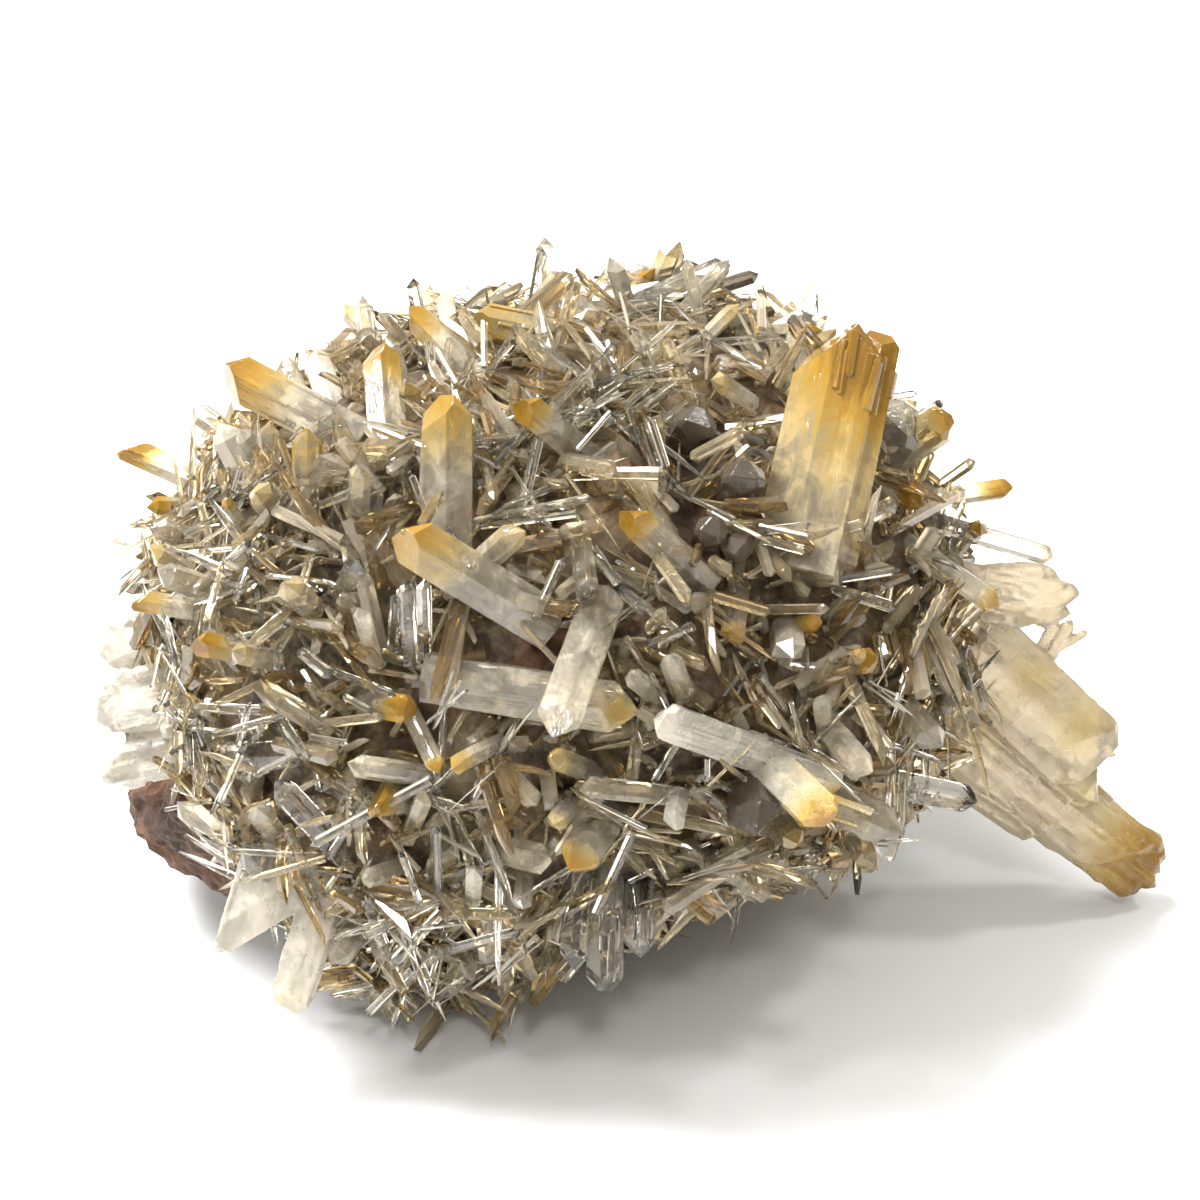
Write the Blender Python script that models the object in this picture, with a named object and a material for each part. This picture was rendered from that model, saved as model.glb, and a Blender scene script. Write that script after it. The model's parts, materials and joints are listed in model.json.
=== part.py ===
# Mango quartz: a mound of needle quartz on host rock, with larger prisms standing out of it.
# Metres, +Z up, origin at the middle of the underside, the photographed side towards -Y.
import math
import random

import bmesh
import bpy
from mathutils import Matrix, Vector, noise

MM = 0.001

# The mound, out to the needle tips
MOUND_CENTRE = Vector((-0.0128, 0.0005, 0.044))
MOUND_HALF_WIDTH = 0.062
MOUND_HALF_DEPTH = 0.054
MOUND_HALF_HEIGHT = 0.050
MOUND_SQUARENESS = 2.25
UNDERSIDE_HEIGHT = 0.0010

# The photographer's view, in which the larger crystals are placed
VIEW_PITCH = math.radians(30)
VIEW_DISTANCE = 0.420
VIEW_MIDDLE = MOUND_CENTRE + Vector((0.006, 0.0, 0.006))
TOWARDS_VIEWER = Vector((0, -math.cos(VIEW_PITCH), math.sin(VIEW_PITCH)))
VIEW_UPWARDS = Vector((0, math.sin(VIEW_PITCH), math.cos(VIEW_PITCH)))
SIGHT_NEAREST = 0.080
SIGHT_STEP = 0.0005
SIGHT_STEPS = 300

# Swellings and dents of the mound: bearing, pitch and spread in degrees, and height
MOUND_LOBES = [
    (62, 50, 26, 0.0030),
    (140, 38, 26, -0.0020),
    (232, -40, 24, 0.0060),
    (316, -40, 24, -0.0100),
    (312, 28, 11, -0.0065),
    (194, -24, 15, -0.0080),
    (350, 2, 22, 0.0010),
]

# The crust of needles: pointed bunches side by side, low beside the larger crystals
CRUST_RELIEF = 0.0072
CRUST_LUMP_SIZE = 0.016
CRUST_LUMP_HEIGHT = 0.0016
BUNCH_LOWEST = 0.25
BUNCH_CLEARING = 0.0022
CLEARING_HEIGHT = 0.10
BUNCH_LEAN = 0.0024

# The host rock
ROCK_CENTRE = MOUND_CENTRE + Vector((-0.0195, 0.0020, -0.0315))
ROCK_HALF_SIZE = Vector((0.0445, 0.0280, 0.0185))
ROCK_TILT = math.radians(14)
ROCK_LUMP_HEIGHT = 0.0030
ROCK_LUMPS_ROUND = 1.7
ROCK_BUMPS_ROUND = 4.1
ROCK_BUMP_SHARE = 0.5

# Quartz habit
PYRAMID_TILT = math.radians(51.8)
BROKEN_FACE = Vector((0.12, 0.20, 1)).normalized()
ROOT_DEPTH = 0.0040
CRYSTAL_TURN = 0.35
BACK_LEAN = 0.35
BACK_FLATNESS = 0.8
SEED = 11

# Sockets: the gap, and how much their width and tip grow to stand that far off every face
GAP = 0.0003
SOCKET_WIDENING = 2.4 * GAP
SOCKET_LENGTHENING = 1.6 * GAP
SAME_POINT = 0.000002

# How far each of the six end faces stands above the tip, as a share of the width
ENDS = {
    "point": (0.00, 0.10, 0.00, 0.16, 0.00, 0.08),
    "chisel": (0.00, 0.34, 0.30, 0.00, 0.38, 0.26),
    "slant": (-0.30, 0.22, 0.40, 0.60, 0.46, 0.10),
    "blunt": (0.24, 0.40, 0.30, 0.46, 0.26, 0.38),
}

# The larger crystals, in millimetres as the view shows them, right and up from its middle:
# name, root, tip, rise of the tip towards the viewer, width, thickness, end, finish.
# A root lies on the mound, or at the depth that its third number gives. Entries of one name
# are grown into each other, and those named needle_druse are fused with the druse.
CRYSTALS = [
    ("mango_prism_top_left", (-37, 24), (-53, 32.5), -3, 7.2, 5.4, "chisel", "mango"),
    ("mango_prism_top_upright", (-30, 24), (-31, 36), -3, 5.8, 4.4, "chisel", "mango"),
    ("mango_prism_top_brown", (-41, 15), (-41.5, 24.5), 1, 4.4, 3.4, "point", "mango"),
    ("mango_prism_centre_upright", (-21.5, 7), (-21.5, 29), 1, 7.4, 5.6, "chisel", "mango"),
    ("mango_prism_centre_leaning", (-10.5, -1.5), (-28.5, 9.5), 7, 7.4, 5.6, "chisel", "mango"),
    ("mango_point_left_high", (-57, 17), (-67, 21.5), 0, 4.4, 3.4, "slant", "mango"),
    ("needle_druse", (-57, 13), (-64, 13.5), 0, 2.4, 2.0, "point", "mango"),
    ("mango_point_left_middle", (-56, -1.5), (-65.5, 0), 0, 3.4, 2.6, "slant", "mango"),
    ("mango_point_left_low", (-49, -7.5), (-57.5, -6), 5, 3.8, 3.0, "chisel", "mango"),
    ("milky_mass_left", (-60.5, -17, 5), (-60.5, -18), 9, 4.0, 3.4, "blunt", "mango"),
    ("mango_prism_top_edge", (-18.5, 32.5), (-27, 41), -4, 4.4, 3.6, "chisel", "mango"),
    ("pale_prism_top_edge", (-21, 37), (-22, 43.5), -4, 3.0, 2.4, "point", "milky"),
    ("needle_druse", (-28, 31), (-30, 37), -3, 2.6, 2.2, "point", "milky"),
    ("pale_prism_top_left_broad", (-38.5, 29.5), (-40.5, 35), -4, 4.4, 3.0, "chisel", "milky"),
    ("needle_druse", (-42, 28), (-45, 34), -3, 3.0, 2.4, "point", "milky"),
    ("needle_druse", (-46.5, 20), (-47, 26), 0, 3.0, 2.4, "chisel", "mango"),
    ("needle_druse", (-26.5, 26), (-27, 30.8), 2, 2.8, 2.4, "chisel", "mango"),
    ("mango_prism_behind_top", (-6, 37), (-18, 39.5), 2, 5.6, 4.4, "chisel", "mango"),
    ("pale_prism_top_middle", (-1, 40), (-7.5, 45), -3, 3.2, 2.8, "point", "mango"),
    ("mango_prism_upper_middle", (-3, 21), (-11.5, 28), 6, 4.6, 3.8, "chisel", "mango"),
    ("mango_prism_beside_hollow", (12.5, 4.5), (3.5, 12.5), 7, 4.8, 3.8, "chisel", "mango"),
    ("mango_prism_tall_right", (28.4, 7.5, 33), (35.3, 38.5), -8, 13.0, 9.0, "chisel", "mango"),
    ("mango_prism_tall_right", (34.0, 9.0, 32), (39.6, 37.0), -7, 6.0, 7.0, "blunt", "mango"),
    ("mango_prism_right_end_on", (42.5, 21, 13), (49, 25.5), 7, 5.6, 4.6, "blunt", "mango"),
    ("mango_prism_right_end_on", (40, 22, 8), (42.5, 25.5), 11, 9.0, 7.0, "blunt", "milky"),
    ("mango_prism_right_lower", (39, 18), (45.5, 13), 7, 3.2, 2.6, "point", "mango"),
    ("mango_point_right_high", (48.5, 14.5), (58.5, 16), 1, 3.2, 2.6, "point", "mango"),
    ("needle_druse", (51, 9), (54.5, 10.5), 5, 2.8, 2.4, "point", "mango"),
    ("clear_prism_right_long", (47, 11, 8), (64, 6), -8, 3.2, 2.6, "point", "clear"),
    ("clear_prism_right_yellow", (46, 6, 19), (56.5, -1), 3, 3.6, 2.8, "point", "mango"),
    ("milky_flake_right", (49, 2, 11), (66, -1.5), 1, 8.6, 3.0, "slant", "milky"),
    ("mango_prism_pointing_down", (19.4, 1.0), (18.6, -6), 7, 3.6, 2.8, "chisel", "mango"),
    ("clear_prism_front_middle", (-0.5, -2.5), (-6.8, -19.5), 14, 6.4, 4.6, "point", "clear"),
    ("milky_prism_lying", (-20.5, -11.5), (5.5, -15.8), 4, 7.2, 4.8, "point", "milky"),
    ("mango_knob_front_left", (-32, -14.5), (-27, -15.5), 7, 4.2, 3.6, "blunt", "mango"),
    ("mango_needle_front_left", (-26, -17.5), (-22.6, -24.5), 5, 2.8, 2.4, "point", "mango"),
    ("mango_knob_front_low", (-27.5, -28), (-32.5, -28), 7, 5.0, 4.2, "slant", "mango"),
    ("needle_druse", (-14, -20), (-21, -24), 7, 3.2, 2.6, "point", "milky"),
    ("olive_prism_front_low", (-2, -24), (-7.2, -22.0), 7, 3.4, 2.8, "point", "mango"),
    ("mango_prism_front_bottom", (0.5, -31), (-4.3, -38.3), 9, 6.0, 4.4, "point", "mango"),
    ("white_prism_lower_right", (30, -24.5), (8.5, -16.8), 19, 5.2, 3.8, "blunt", "milky"),
    ("white_prism_lower_right", (23, -22.5), (32, -31), 8, 6.0, 4.6, "blunt", "mango"),
    ("mango_knob_right", (35, -9), (38, -8.5), 7, 3.8, 3.2, "blunt", "mango"),
    ("mango_point_front_right", (26, -4), (31.5, -3), 5, 2.8, 2.4, "point", "mango"),
    ("bottom_prisms", (1.0, -40), (0.6, -55.2), 2, 5.2, 4.2, "chisel", "clear"),
    ("bottom_prisms", (4.6, -41), (5.8, -50.5), 2, 4.2, 3.4, "point", "clear"),
    ("bottom_prisms", (-3.0, -40), (-3.8, -52.0), 1, 4.0, 3.2, "point", "clear"),
    ("mango_prism_bottom_left", (-24, -42), (-21, -33.5), 7, 4.2, 3.4, "chisel", "mango"),
    ("grey_prism_left_low", (-38.5, -33.5), (-46, -25.5), 5, 4.0, 3.0, "point", "clear"),
    ("clear_prism_left_lying", (-49.5, -22), (-41, -21.5), 6, 4.4, 3.2, "point", "clear"),
    ("milky_mass_left", (-57, -8, 4), (-69.5, -5), 2, 9.0, 7.5, "blunt", "milky"),
    ("milky_mass_left", (-57, -14, 5), (-70.5, -14), 3, 10.0, 8.0, "blunt", "milky"),
    ("milky_mass_left", (-56, -20, 5), (-69.5, -23), 2, 8.0, 7.0, "slant", "milky"),
    ("milky_slabs_bottom_left", (-43, -39.5), (-54.5, -46.5), 0, 8.5, 3.6, "slant", "milky"),
    ("milky_slabs_bottom_left", (-39, -42), (-44, -57.5), 1, 6.5, 3.6, "blunt", "milky"),
    ("milky_tail", (40, 5, 1), (69.5, -23), -9, 15.0, 9.0, "blunt", "milky"),
    ("milky_tail", (42, -11.5, -4), (74.5, -37.0), -15, 12.5, 8.5, "slant", "milky"),
    ("milky_tail", (52, -20.5, -8), (78.6, -37.2), -13, 5.5, 5.0, "blunt", "mango"),
    ("milky_tail", (52, -24.5, -8), (76.0, -41.2), -12, 4.8, 4.6, "point", "mango"),
    ("grey_prism_under_tail", (42, -26), (53.5, -28.5), 0, 4.4, 3.4, "point", "clear"),
    ("needle_druse", (13, 43), (22.5, 46), -4, 2.4, 2.0, "point", "smoky"),
    ("clear_blades_top_right", (25, 37), (31, 42.5), -4, 6.0, 2.2, "slant", "clear"),
    ("smoky_crystal_upper", (12.5, 23), (14, 25.5), 6, 6.2, 5.0, "blunt", "smoky"),
    ("smoky_crystal_right", (19.5, 15), (20.5, 18), 7, 6.4, 5.0, "blunt", "smoky"),
    ("smoky_crystal_lower", (15.5, 9), (15.8, 10), 6, 4.8, 4.2, "blunt", "smoky"),
]

# Prisms at the back, by bearing and pitch in degrees on the mound, with length and width
BACK_CRYSTALS = [
    (36, 12, 0.0120, 0.0060, "mango"),
    (60, 26, 0.0100, 0.0050, "mango"),
    (72, -2, 0.0125, 0.0084, "mango"),
    (98, 20, 0.0115, 0.0056, "clear"),
    (116, -10, 0.0110, 0.0064, "mango"),
    (134, 12, 0.0130, 0.0074, "mango"),
]

# Base colour, roughness
FINISHES = {
    "mango": ((0.78, 0.50, 0.16), 0.22),
    "milky": ((0.80, 0.77, 0.70), 0.35),
    "clear": ((0.82, 0.81, 0.77), 0.12),
    "smoky": ((0.34, 0.30, 0.31), 0.25),
    "druse": ((0.66, 0.61, 0.52), 0.28),
    "rock": ((0.22, 0.11, 0.06), 0.85),
}


def material(finish):
    found = bpy.data.materials.get(finish)
    if found:
        return found
    colour, roughness = FINISHES[finish]
    made = bpy.data.materials.new(finish)
    made.use_nodes = True
    shader = made.node_tree.nodes["Principled BSDF"]
    shader.inputs["Base Color"].default_value = (*colour, 1.0)
    shader.inputs["Roughness"].default_value = roughness
    shader.inputs["Metallic"].default_value = 0.0
    return made


def add_object(name, mesh, finish):
    obj = bpy.data.objects.new(name, mesh)
    bpy.context.scene.collection.objects.link(obj)
    mesh.materials.clear()
    mesh.materials.append(material(finish))
    return obj


def mesh_from(bm, name):
    bmesh.ops.recalc_face_normals(bm, faces=bm.faces)
    if bm.calc_volume(signed=True) < 0:
        bmesh.ops.reverse_faces(bm, faces=bm.faces)
    mesh = bpy.data.meshes.new(name)
    bm.to_mesh(mesh)
    bm.free()
    return mesh


def towards(bearing, pitch):
    flat = math.cos(pitch)
    return Vector((flat * math.cos(bearing), flat * math.sin(bearing), math.sin(pitch)))


def needle_reach(direction):
    """Distance from the mound's centre to the needle tips in one direction."""
    sizes = (MOUND_HALF_WIDTH, MOUND_HALF_DEPTH, MOUND_HALF_HEIGHT)
    total = sum(abs(part / size) ** MOUND_SQUARENESS for part, size in zip(direction, sizes))
    reach = total ** (-1.0 / MOUND_SQUARENESS)
    for bearing, pitch, spread, height in MOUND_LOBES:
        middle = towards(math.radians(bearing), math.radians(pitch))
        apart = direction.angle(middle) / math.radians(spread)
        reach += height * math.exp(-apart * apart)
    return reach


def crust_radius(direction):
    """Distance from the mound's centre to the lumpy ground that the needles stand on."""
    at = direction * needle_reach(direction) / CRUST_LUMP_SIZE
    return needle_reach(direction) - CRUST_RELIEF + CRUST_LUMP_HEIGHT * noise.noise(at)


def above_crust(point):
    out = point - MOUND_CENTRE
    return out.length - crust_radius(out.normalized())


def sight_point(right, up, depth):
    """A point as the photographer sees it: right and up of the middle, and depth nearer."""
    shrink = (VIEW_DISTANCE - depth) / VIEW_DISTANCE
    across = Vector((right, 0, 0)) + VIEW_UPWARDS * up
    return VIEW_MIDDLE + across * shrink + TOWARDS_VIEWER * depth


def depth_on_mound(right, up):
    """Depth where the line of sight first meets the mound, or passes closest to it."""
    closest, best = None, 0.0
    for count in range(SIGHT_STEPS):
        depth = SIGHT_NEAREST - count * SIGHT_STEP
        height = above_crust(sight_point(right, up, depth))
        if height <= 0:
            return depth
        if closest is None or height < closest:
            closest, best = height, depth
    return best


def crystal(bm, root, tip, width, thickness, facing, end):
    """Add one hexagonal quartz prism, its width seen from the facing side, to the mesh."""
    along = (tip - root).normalized()
    length = (tip - root).length
    side = along.cross(facing).normalized()
    across = along.cross(side)
    place = Matrix((side, across * (thickness / width), along)).transposed().to_4x4()
    place.translation = root
    solid = bmesh.new()
    tall = length + 2 * width
    bmesh.ops.create_cone(
        solid, cap_ends=True, segments=6, radius1=width / 2, radius2=width / 2,
        depth=tall, matrix=Matrix.Translation((0, 0, tall / 2)),
    )
    for face, above in enumerate(ENDS[end]):
        turn = math.radians(30 + 60 * face)
        normal = Vector((
            math.sin(PYRAMID_TILT) * math.cos(turn),
            math.sin(PYRAMID_TILT) * math.sin(turn),
            math.cos(PYRAMID_TILT),
        ))
        cut_flat(solid, Vector((0, 0, length + above * width)), normal)
    if end == "blunt":
        cut_flat(solid, Vector((0, 0, length)), BROKEN_FACE)
    solid.transform(place)
    loose = mesh_from(solid, "crystal")
    bm.from_mesh(loose)
    bpy.data.meshes.remove(loose)


def cut_flat(bm, point, normal):
    bmesh.ops.bisect_plane(
        bm, geom=bm.verts[:] + bm.edges[:] + bm.faces[:], dist=1e-7,
        plane_co=point, plane_no=normal, clear_outer=True,
    )
    bmesh.ops.holes_fill(bm, edges=[edge for edge in bm.edges if edge.is_boundary], sides=0)


def boolean(mesh, other, operation):
    """The mesh joined with, or cut by, another mesh whose bodies may overlap."""
    base = bpy.data.objects.new("base", mesh)
    tool = bpy.data.objects.new("tool", other)
    for obj in (base, tool):
        bpy.context.scene.collection.objects.link(obj)
    step = base.modifiers.new("boolean", "BOOLEAN")
    step.operation = operation
    step.solver = "EXACT"
    step.use_self = True
    step.object = tool
    graph = bpy.context.evaluated_depsgraph_get()
    result = bpy.data.meshes.new_from_object(base.evaluated_get(graph))
    for obj in (base, tool):
        bpy.data.objects.remove(obj)
    return result


def largest_island(mesh):
    """Keep the biggest closed body, so that no cut-off chip is left in the air."""
    bm = bmesh.new()
    bm.from_mesh(mesh)
    bmesh.ops.remove_doubles(bm, verts=bm.verts, dist=SAME_POINT)
    left = set(bm.verts)
    islands = []
    while left:
        stack = [left.pop()]
        island = set(stack)
        while stack:
            for edge in stack.pop().link_edges:
                for vert in edge.verts:
                    if vert in left:
                        left.remove(vert)
                        island.add(vert)
                        stack.append(vert)
        islands.append(island)
    islands.sort(key=len)
    for island in islands[:-1]:
        bmesh.ops.delete(bm, geom=list(island), context="VERTS")
    return mesh_from(bm, mesh.name)


def lumpy_ball(radius_towards):
    bm = bmesh.new()
    bmesh.ops.create_icosphere(bm, subdivisions=3, radius=1.0)
    for vert in bm.verts:
        direction = vert.co.normalized()
        vert.co = direction * radius_towards(direction)
    return bm


def axis_gap(point, item):
    """Distance from a point to the axis of a larger crystal."""
    along = item[2] - item[1]
    share = max(0.0, min(1.0, (point - item[1]).dot(along) / along.length_squared))
    return (point - item[1] - along * share).length


def mound_mesh(placed):
    """The crust: a six-sided point over every corner of a ball, its foot on the ground."""
    rng = random.Random(SEED + 2)
    ball = bmesh.new()
    bmesh.ops.create_icosphere(ball, subdivisions=4, radius=1.0)
    bm = bmesh.new()
    feet = {}
    for face in ball.faces:
        out = face.calc_center_median().normalized()
        feet[face] = bm.verts.new(MOUND_CENTRE + out * crust_radius(out))
    for vert in ball.verts:
        out = vert.co.normalized()
        side = out.orthogonal().normalized()
        across = out.cross(side)
        share = rng.uniform(BUNCH_LOWEST, 1.0)
        lean = (side * rng.uniform(-1, 1) + across * rng.uniform(-1, 1)) * BUNCH_LEAN
        ground = crust_radius(out)
        middle = MOUND_CENTRE + out * (ground + needle_reach(out)) / 2
        if any(axis_gap(middle, item) < item[3] / 2 + BUNCH_CLEARING for item in placed):
            share = CLEARING_HEIGHT
        height = ground + share * (needle_reach(out) - ground)
        peak = bm.verts.new(MOUND_CENTRE + out * height + lean * share)

        def turn(face):
            apart = face.calc_center_median() - vert.co
            return math.atan2(apart.dot(across), apart.dot(side))

        ring = sorted(vert.link_faces, key=turn)
        for face, following in zip(ring, ring[1:] + ring[:1]):
            bm.faces.new((feet[face], feet[following], peak))
    ball.free()
    cut_flat(bm, Vector((0, 0, UNDERSIDE_HEIGHT)), Vector((0, 0, -1)))
    return mesh_from(bm, "mound")


def rock_mesh(grown):
    """The host rock, lumpy, with the flat spot that the specimen rests on."""
    def radius(direction):
        lumps = noise.noise(direction * ROCK_LUMPS_ROUND)
        lumps += ROCK_BUMP_SHARE * noise.noise(direction * ROCK_BUMPS_ROUND)
        return 1.0 + lumps * ROCK_LUMP_HEIGHT / ROCK_HALF_SIZE.z

    bm = lumpy_ball(radius)
    bmesh.ops.scale(bm, verts=bm.verts, vec=ROCK_HALF_SIZE + Vector((grown, grown, grown)))
    bmesh.ops.rotate(bm, verts=bm.verts, cent=(0, 0, 0), matrix=Matrix.Rotation(ROCK_TILT, 3, "Y"))
    bmesh.ops.translate(bm, verts=bm.verts, vec=ROCK_CENTRE)
    cut_flat(bm, Vector((0, 0, -grown)), Vector((0, 0, -1)))
    return mesh_from(bm, "rock")


def placed_crystals():
    """Every larger crystal as name, root, tip, width, thickness, facing side, end and finish."""
    rng = random.Random(SEED)
    placed = []
    for name, root, tip, rise, width, thickness, end, finish in CRYSTALS:
        right, up = root[0] * MM, root[1] * MM
        depth = root[2] * MM if len(root) == 3 else depth_on_mound(right, up)
        start = sight_point(right, up, depth)
        stop = sight_point(tip[0] * MM, tip[1] * MM, depth + rise * MM)
        start -= (stop - start).normalized() * ROOT_DEPTH
        turn = rng.uniform(-CRYSTAL_TURN, CRYSTAL_TURN)
        facing = Matrix.Rotation(turn, 3, stop - start) @ TOWARDS_VIEWER
        placed.append((name, start, stop, width * MM, thickness * MM, facing, end, finish))
    for number, (bearing, pitch, length, width, finish) in enumerate(BACK_CRYSTALS, 1):
        out = towards(math.radians(bearing), math.radians(pitch))
        lean = Vector([rng.uniform(-BACK_LEAN, BACK_LEAN) for _ in range(3)])
        along = (out + lean).normalized()
        start = MOUND_CENTRE + out * (crust_radius(out) - ROOT_DEPTH)
        stop = start + along * (length + ROOT_DEPTH)
        facing = Matrix.Rotation(rng.uniform(0, math.pi), 3, along) @ along.orthogonal()
        name = f"{finish}_prism_back_{number}"
        end = rng.choice(["point", "chisel"])
        placed.append((name, start, stop, width, BACK_FLATNESS * width, facing, end, finish))
    return placed


def crystal_mesh(members, name, widening=0.0, lengthening=0.0):
    """One mesh of the given crystals, as they are or enlarged to cut their sockets."""
    bm = bmesh.new()
    for _, start, stop, width, thickness, facing, end, _ in members:
        longer = (stop - start).normalized() * lengthening
        wide, thick = width + widening, thickness + widening
        crystal(bm, start - longer, stop + longer, wide, thick, facing, end)
    mesh = bpy.data.meshes.new(name)
    bm.to_mesh(mesh)
    bm.free()
    return mesh


def sockets(placed):
    return crystal_mesh(placed, "sockets", SOCKET_WIDENING, SOCKET_LENGTHENING)


def joined(members, name):
    """The crystals of one node, grown into each other, as one closed body."""
    mesh = crystal_mesh(members[:1], name)
    for member in members[1:]:
        mesh = boolean(mesh, crystal_mesh([member], name), "UNION")
    mesh.name = name
    return mesh


def build_crystals(placed):
    groups = {}
    for item in placed:
        groups.setdefault(item[0], []).append(item)
    for name, members in groups.items():
        add_object(name, joined(members, name), members[0][7])


def build_druse(fused, placed):
    druse = mound_mesh(placed)
    for item in fused:
        druse = boolean(druse, crystal_mesh([item], "fused"), "UNION")
    druse = boolean(druse, rock_mesh(GAP), "DIFFERENCE")
    druse = boolean(druse, sockets(placed), "DIFFERENCE")
    add_object("needle_druse", largest_island(druse), "druse")


def build_rock(placed):
    rock = boolean(rock_mesh(0.0), sockets(placed), "DIFFERENCE")
    add_object("matrix_rock", largest_island(rock), "rock")


def main():
    for obj in list(bpy.data.objects):
        bpy.data.objects.remove(obj)
    crystals = placed_crystals()
    placed = [item for item in crystals if item[0] != "needle_druse"]
    fused = [item for item in crystals if item[0] == "needle_druse"]
    build_rock(placed)
    build_druse(fused, placed)
    build_crystals(placed)


main()
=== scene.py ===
import json
import math
import random

import bmesh
import bpy
from mathutils import Matrix, Vector, noise
from mathutils.bvhtree import BVHTree


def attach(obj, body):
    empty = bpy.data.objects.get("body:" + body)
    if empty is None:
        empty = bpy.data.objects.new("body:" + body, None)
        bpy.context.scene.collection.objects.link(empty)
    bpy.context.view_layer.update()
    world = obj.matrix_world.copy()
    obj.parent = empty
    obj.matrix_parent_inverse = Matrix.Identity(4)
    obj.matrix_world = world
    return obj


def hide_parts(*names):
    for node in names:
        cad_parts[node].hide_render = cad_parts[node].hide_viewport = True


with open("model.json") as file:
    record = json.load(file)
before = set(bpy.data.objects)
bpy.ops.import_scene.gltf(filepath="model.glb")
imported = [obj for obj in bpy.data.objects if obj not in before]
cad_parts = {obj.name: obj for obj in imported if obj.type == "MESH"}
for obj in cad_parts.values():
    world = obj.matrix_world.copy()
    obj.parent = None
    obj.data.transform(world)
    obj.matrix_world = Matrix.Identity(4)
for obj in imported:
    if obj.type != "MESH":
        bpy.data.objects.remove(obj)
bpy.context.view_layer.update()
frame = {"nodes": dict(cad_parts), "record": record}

mm = 0.001
nodes = frame["nodes"]

# The mound of needles, as part.py has it
mound = {
    "centre": Vector((-0.0128, 0.0005, 0.044)),
    "halfSize": Vector((0.062, 0.054, 0.050)),
    "squareness": 2.25,
    "relief": 0.0072,          # needle tips above the ground they stand on
    "lumpSize": 0.016,
    "lumpHeight": 0.0016,
    "underside": 0.0012,
    "lobes": [                 # bearing, pitch, spread in degrees, height
        (62, 50, 26, 0.0030), (140, 38, 26, -0.0020), (232, -40, 24, 0.0060),
        (316, -40, 24, -0.0100), (312, 28, 11, -0.0065), (194, -24, 15, -0.0080),
        (350, 2, 22, 0.0010),
    ],
}

# The camera of the photograph
camera = {
    "target": mound["centre"] + Vector((0.006, 0.0, 0.006)),
    "pitch": math.radians(30),
    "distance": 0.420,
    "lens": 89.3,
    "sensor": 36.0,
}
towardsViewer = Vector((0, -math.cos(camera["pitch"]), math.sin(camera["pitch"])))
viewUpwards = Vector((0, math.sin(camera["pitch"]), math.cos(camera["pitch"])))


def towards(bearing, pitch):
    flat = math.cos(pitch)
    return Vector((flat * math.cos(bearing), flat * math.sin(bearing), math.sin(pitch)))


def needleReach(direction):
    power = mound["squareness"]
    total = sum(abs(part / size) ** power for part, size in zip(direction, mound["halfSize"]))
    reach = total ** (-1.0 / power)
    for bearing, pitch, spread, height in mound["lobes"]:
        middle = towards(math.radians(bearing), math.radians(pitch))
        apart = direction.angle(middle) / math.radians(spread)
        reach += height * math.exp(-apart * apart)
    return reach


def groundRadius(direction):
    reach = needleReach(direction)
    lump = noise.noise(direction * reach / mound["lumpSize"])
    return reach - mound["relief"] + mound["lumpHeight"] * lump


def sightPoint(right, up, depth):
    shrink = (camera["distance"] - depth) / camera["distance"]
    across = Vector((right, 0, 0)) + viewUpwards * up
    return camera["target"] + across * shrink + towardsViewer * depth


def groundDepth(right, up):
    # How near the ground is that the photograph shows this far right and up, in millimetres
    closest, best = None, 0.0
    for count in range(260):
        depth = 0.080 - count * 0.0006
        out = sightPoint(right * mm, up * mm, depth) - mound["centre"]
        height = out.length - groundRadius(out.normalized())
        if height <= 0:
            return depth
        if closest is None or height < closest:
            closest, best = height, depth
    return best


def onGround(right, up, lift=0.0):
    return sightPoint(right * mm, up * mm, groundDepth(right, up) + lift * mm)


# Small helpers for trees of nodes
def put(tree, kind, **settings):
    node = tree.nodes.new(kind)
    for key, value in settings.items():
        setattr(node, key, value)
    return node


def feed(tree, socket, value):
    if isinstance(value, bpy.types.NodeSocket):
        tree.links.new(value, socket)
    else:
        socket.default_value = value


def maths(tree, operation, first, second=0.0, third=0.0):
    node = put(tree, "ShaderNodeMath", operation=operation)
    for socket, value in zip(node.inputs, (first, second, third)):
        feed(tree, socket, value)
    return node.outputs[0]


def vectorMaths(tree, operation, first, second=(0, 0, 0), scale=1.0):
    node = put(tree, "ShaderNodeVectorMath", operation=operation)
    feed(tree, node.inputs[0], first)
    if operation == "SCALE":
        feed(tree, node.inputs["Scale"], scale)
    elif operation not in ("NORMALIZE", "LENGTH"):
        feed(tree, node.inputs[1], second)
    return node.outputs["Value"] if operation in ("DOT_PRODUCT", "LENGTH") else node.outputs["Vector"]


def through(tree, kind, source, **settings):
    # A node that takes this at its first input
    node = put(tree, kind, **settings)
    tree.links.new(source, node.inputs[0])
    return node


def separated(tree, vector):
    return through(tree, "ShaderNodeSeparateXYZ", vector).outputs


def combined(tree, x, y, z):
    node = put(tree, "ShaderNodeCombineXYZ")
    for socket, value in zip(node.inputs, (x, y, z)):
        feed(tree, socket, value)
    return node.outputs["Vector"]


def readLayer(tree, name, kind="FLOAT"):
    node = put(tree, "GeometryNodeInputNamedAttribute", data_type=kind)
    feed(tree, node.inputs["Name"], name)
    return node.outputs[0]


def storeLayer(tree, geometry, name, value, domain="POINT", kind="FLOAT"):
    node = through(tree, "GeometryNodeStoreNamedAttribute", geometry, data_type=kind, domain=domain)
    node.inputs["Name"].default_value = name
    tree.links.new(value, node.inputs["Value"])
    return node.outputs["Geometry"]


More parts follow.
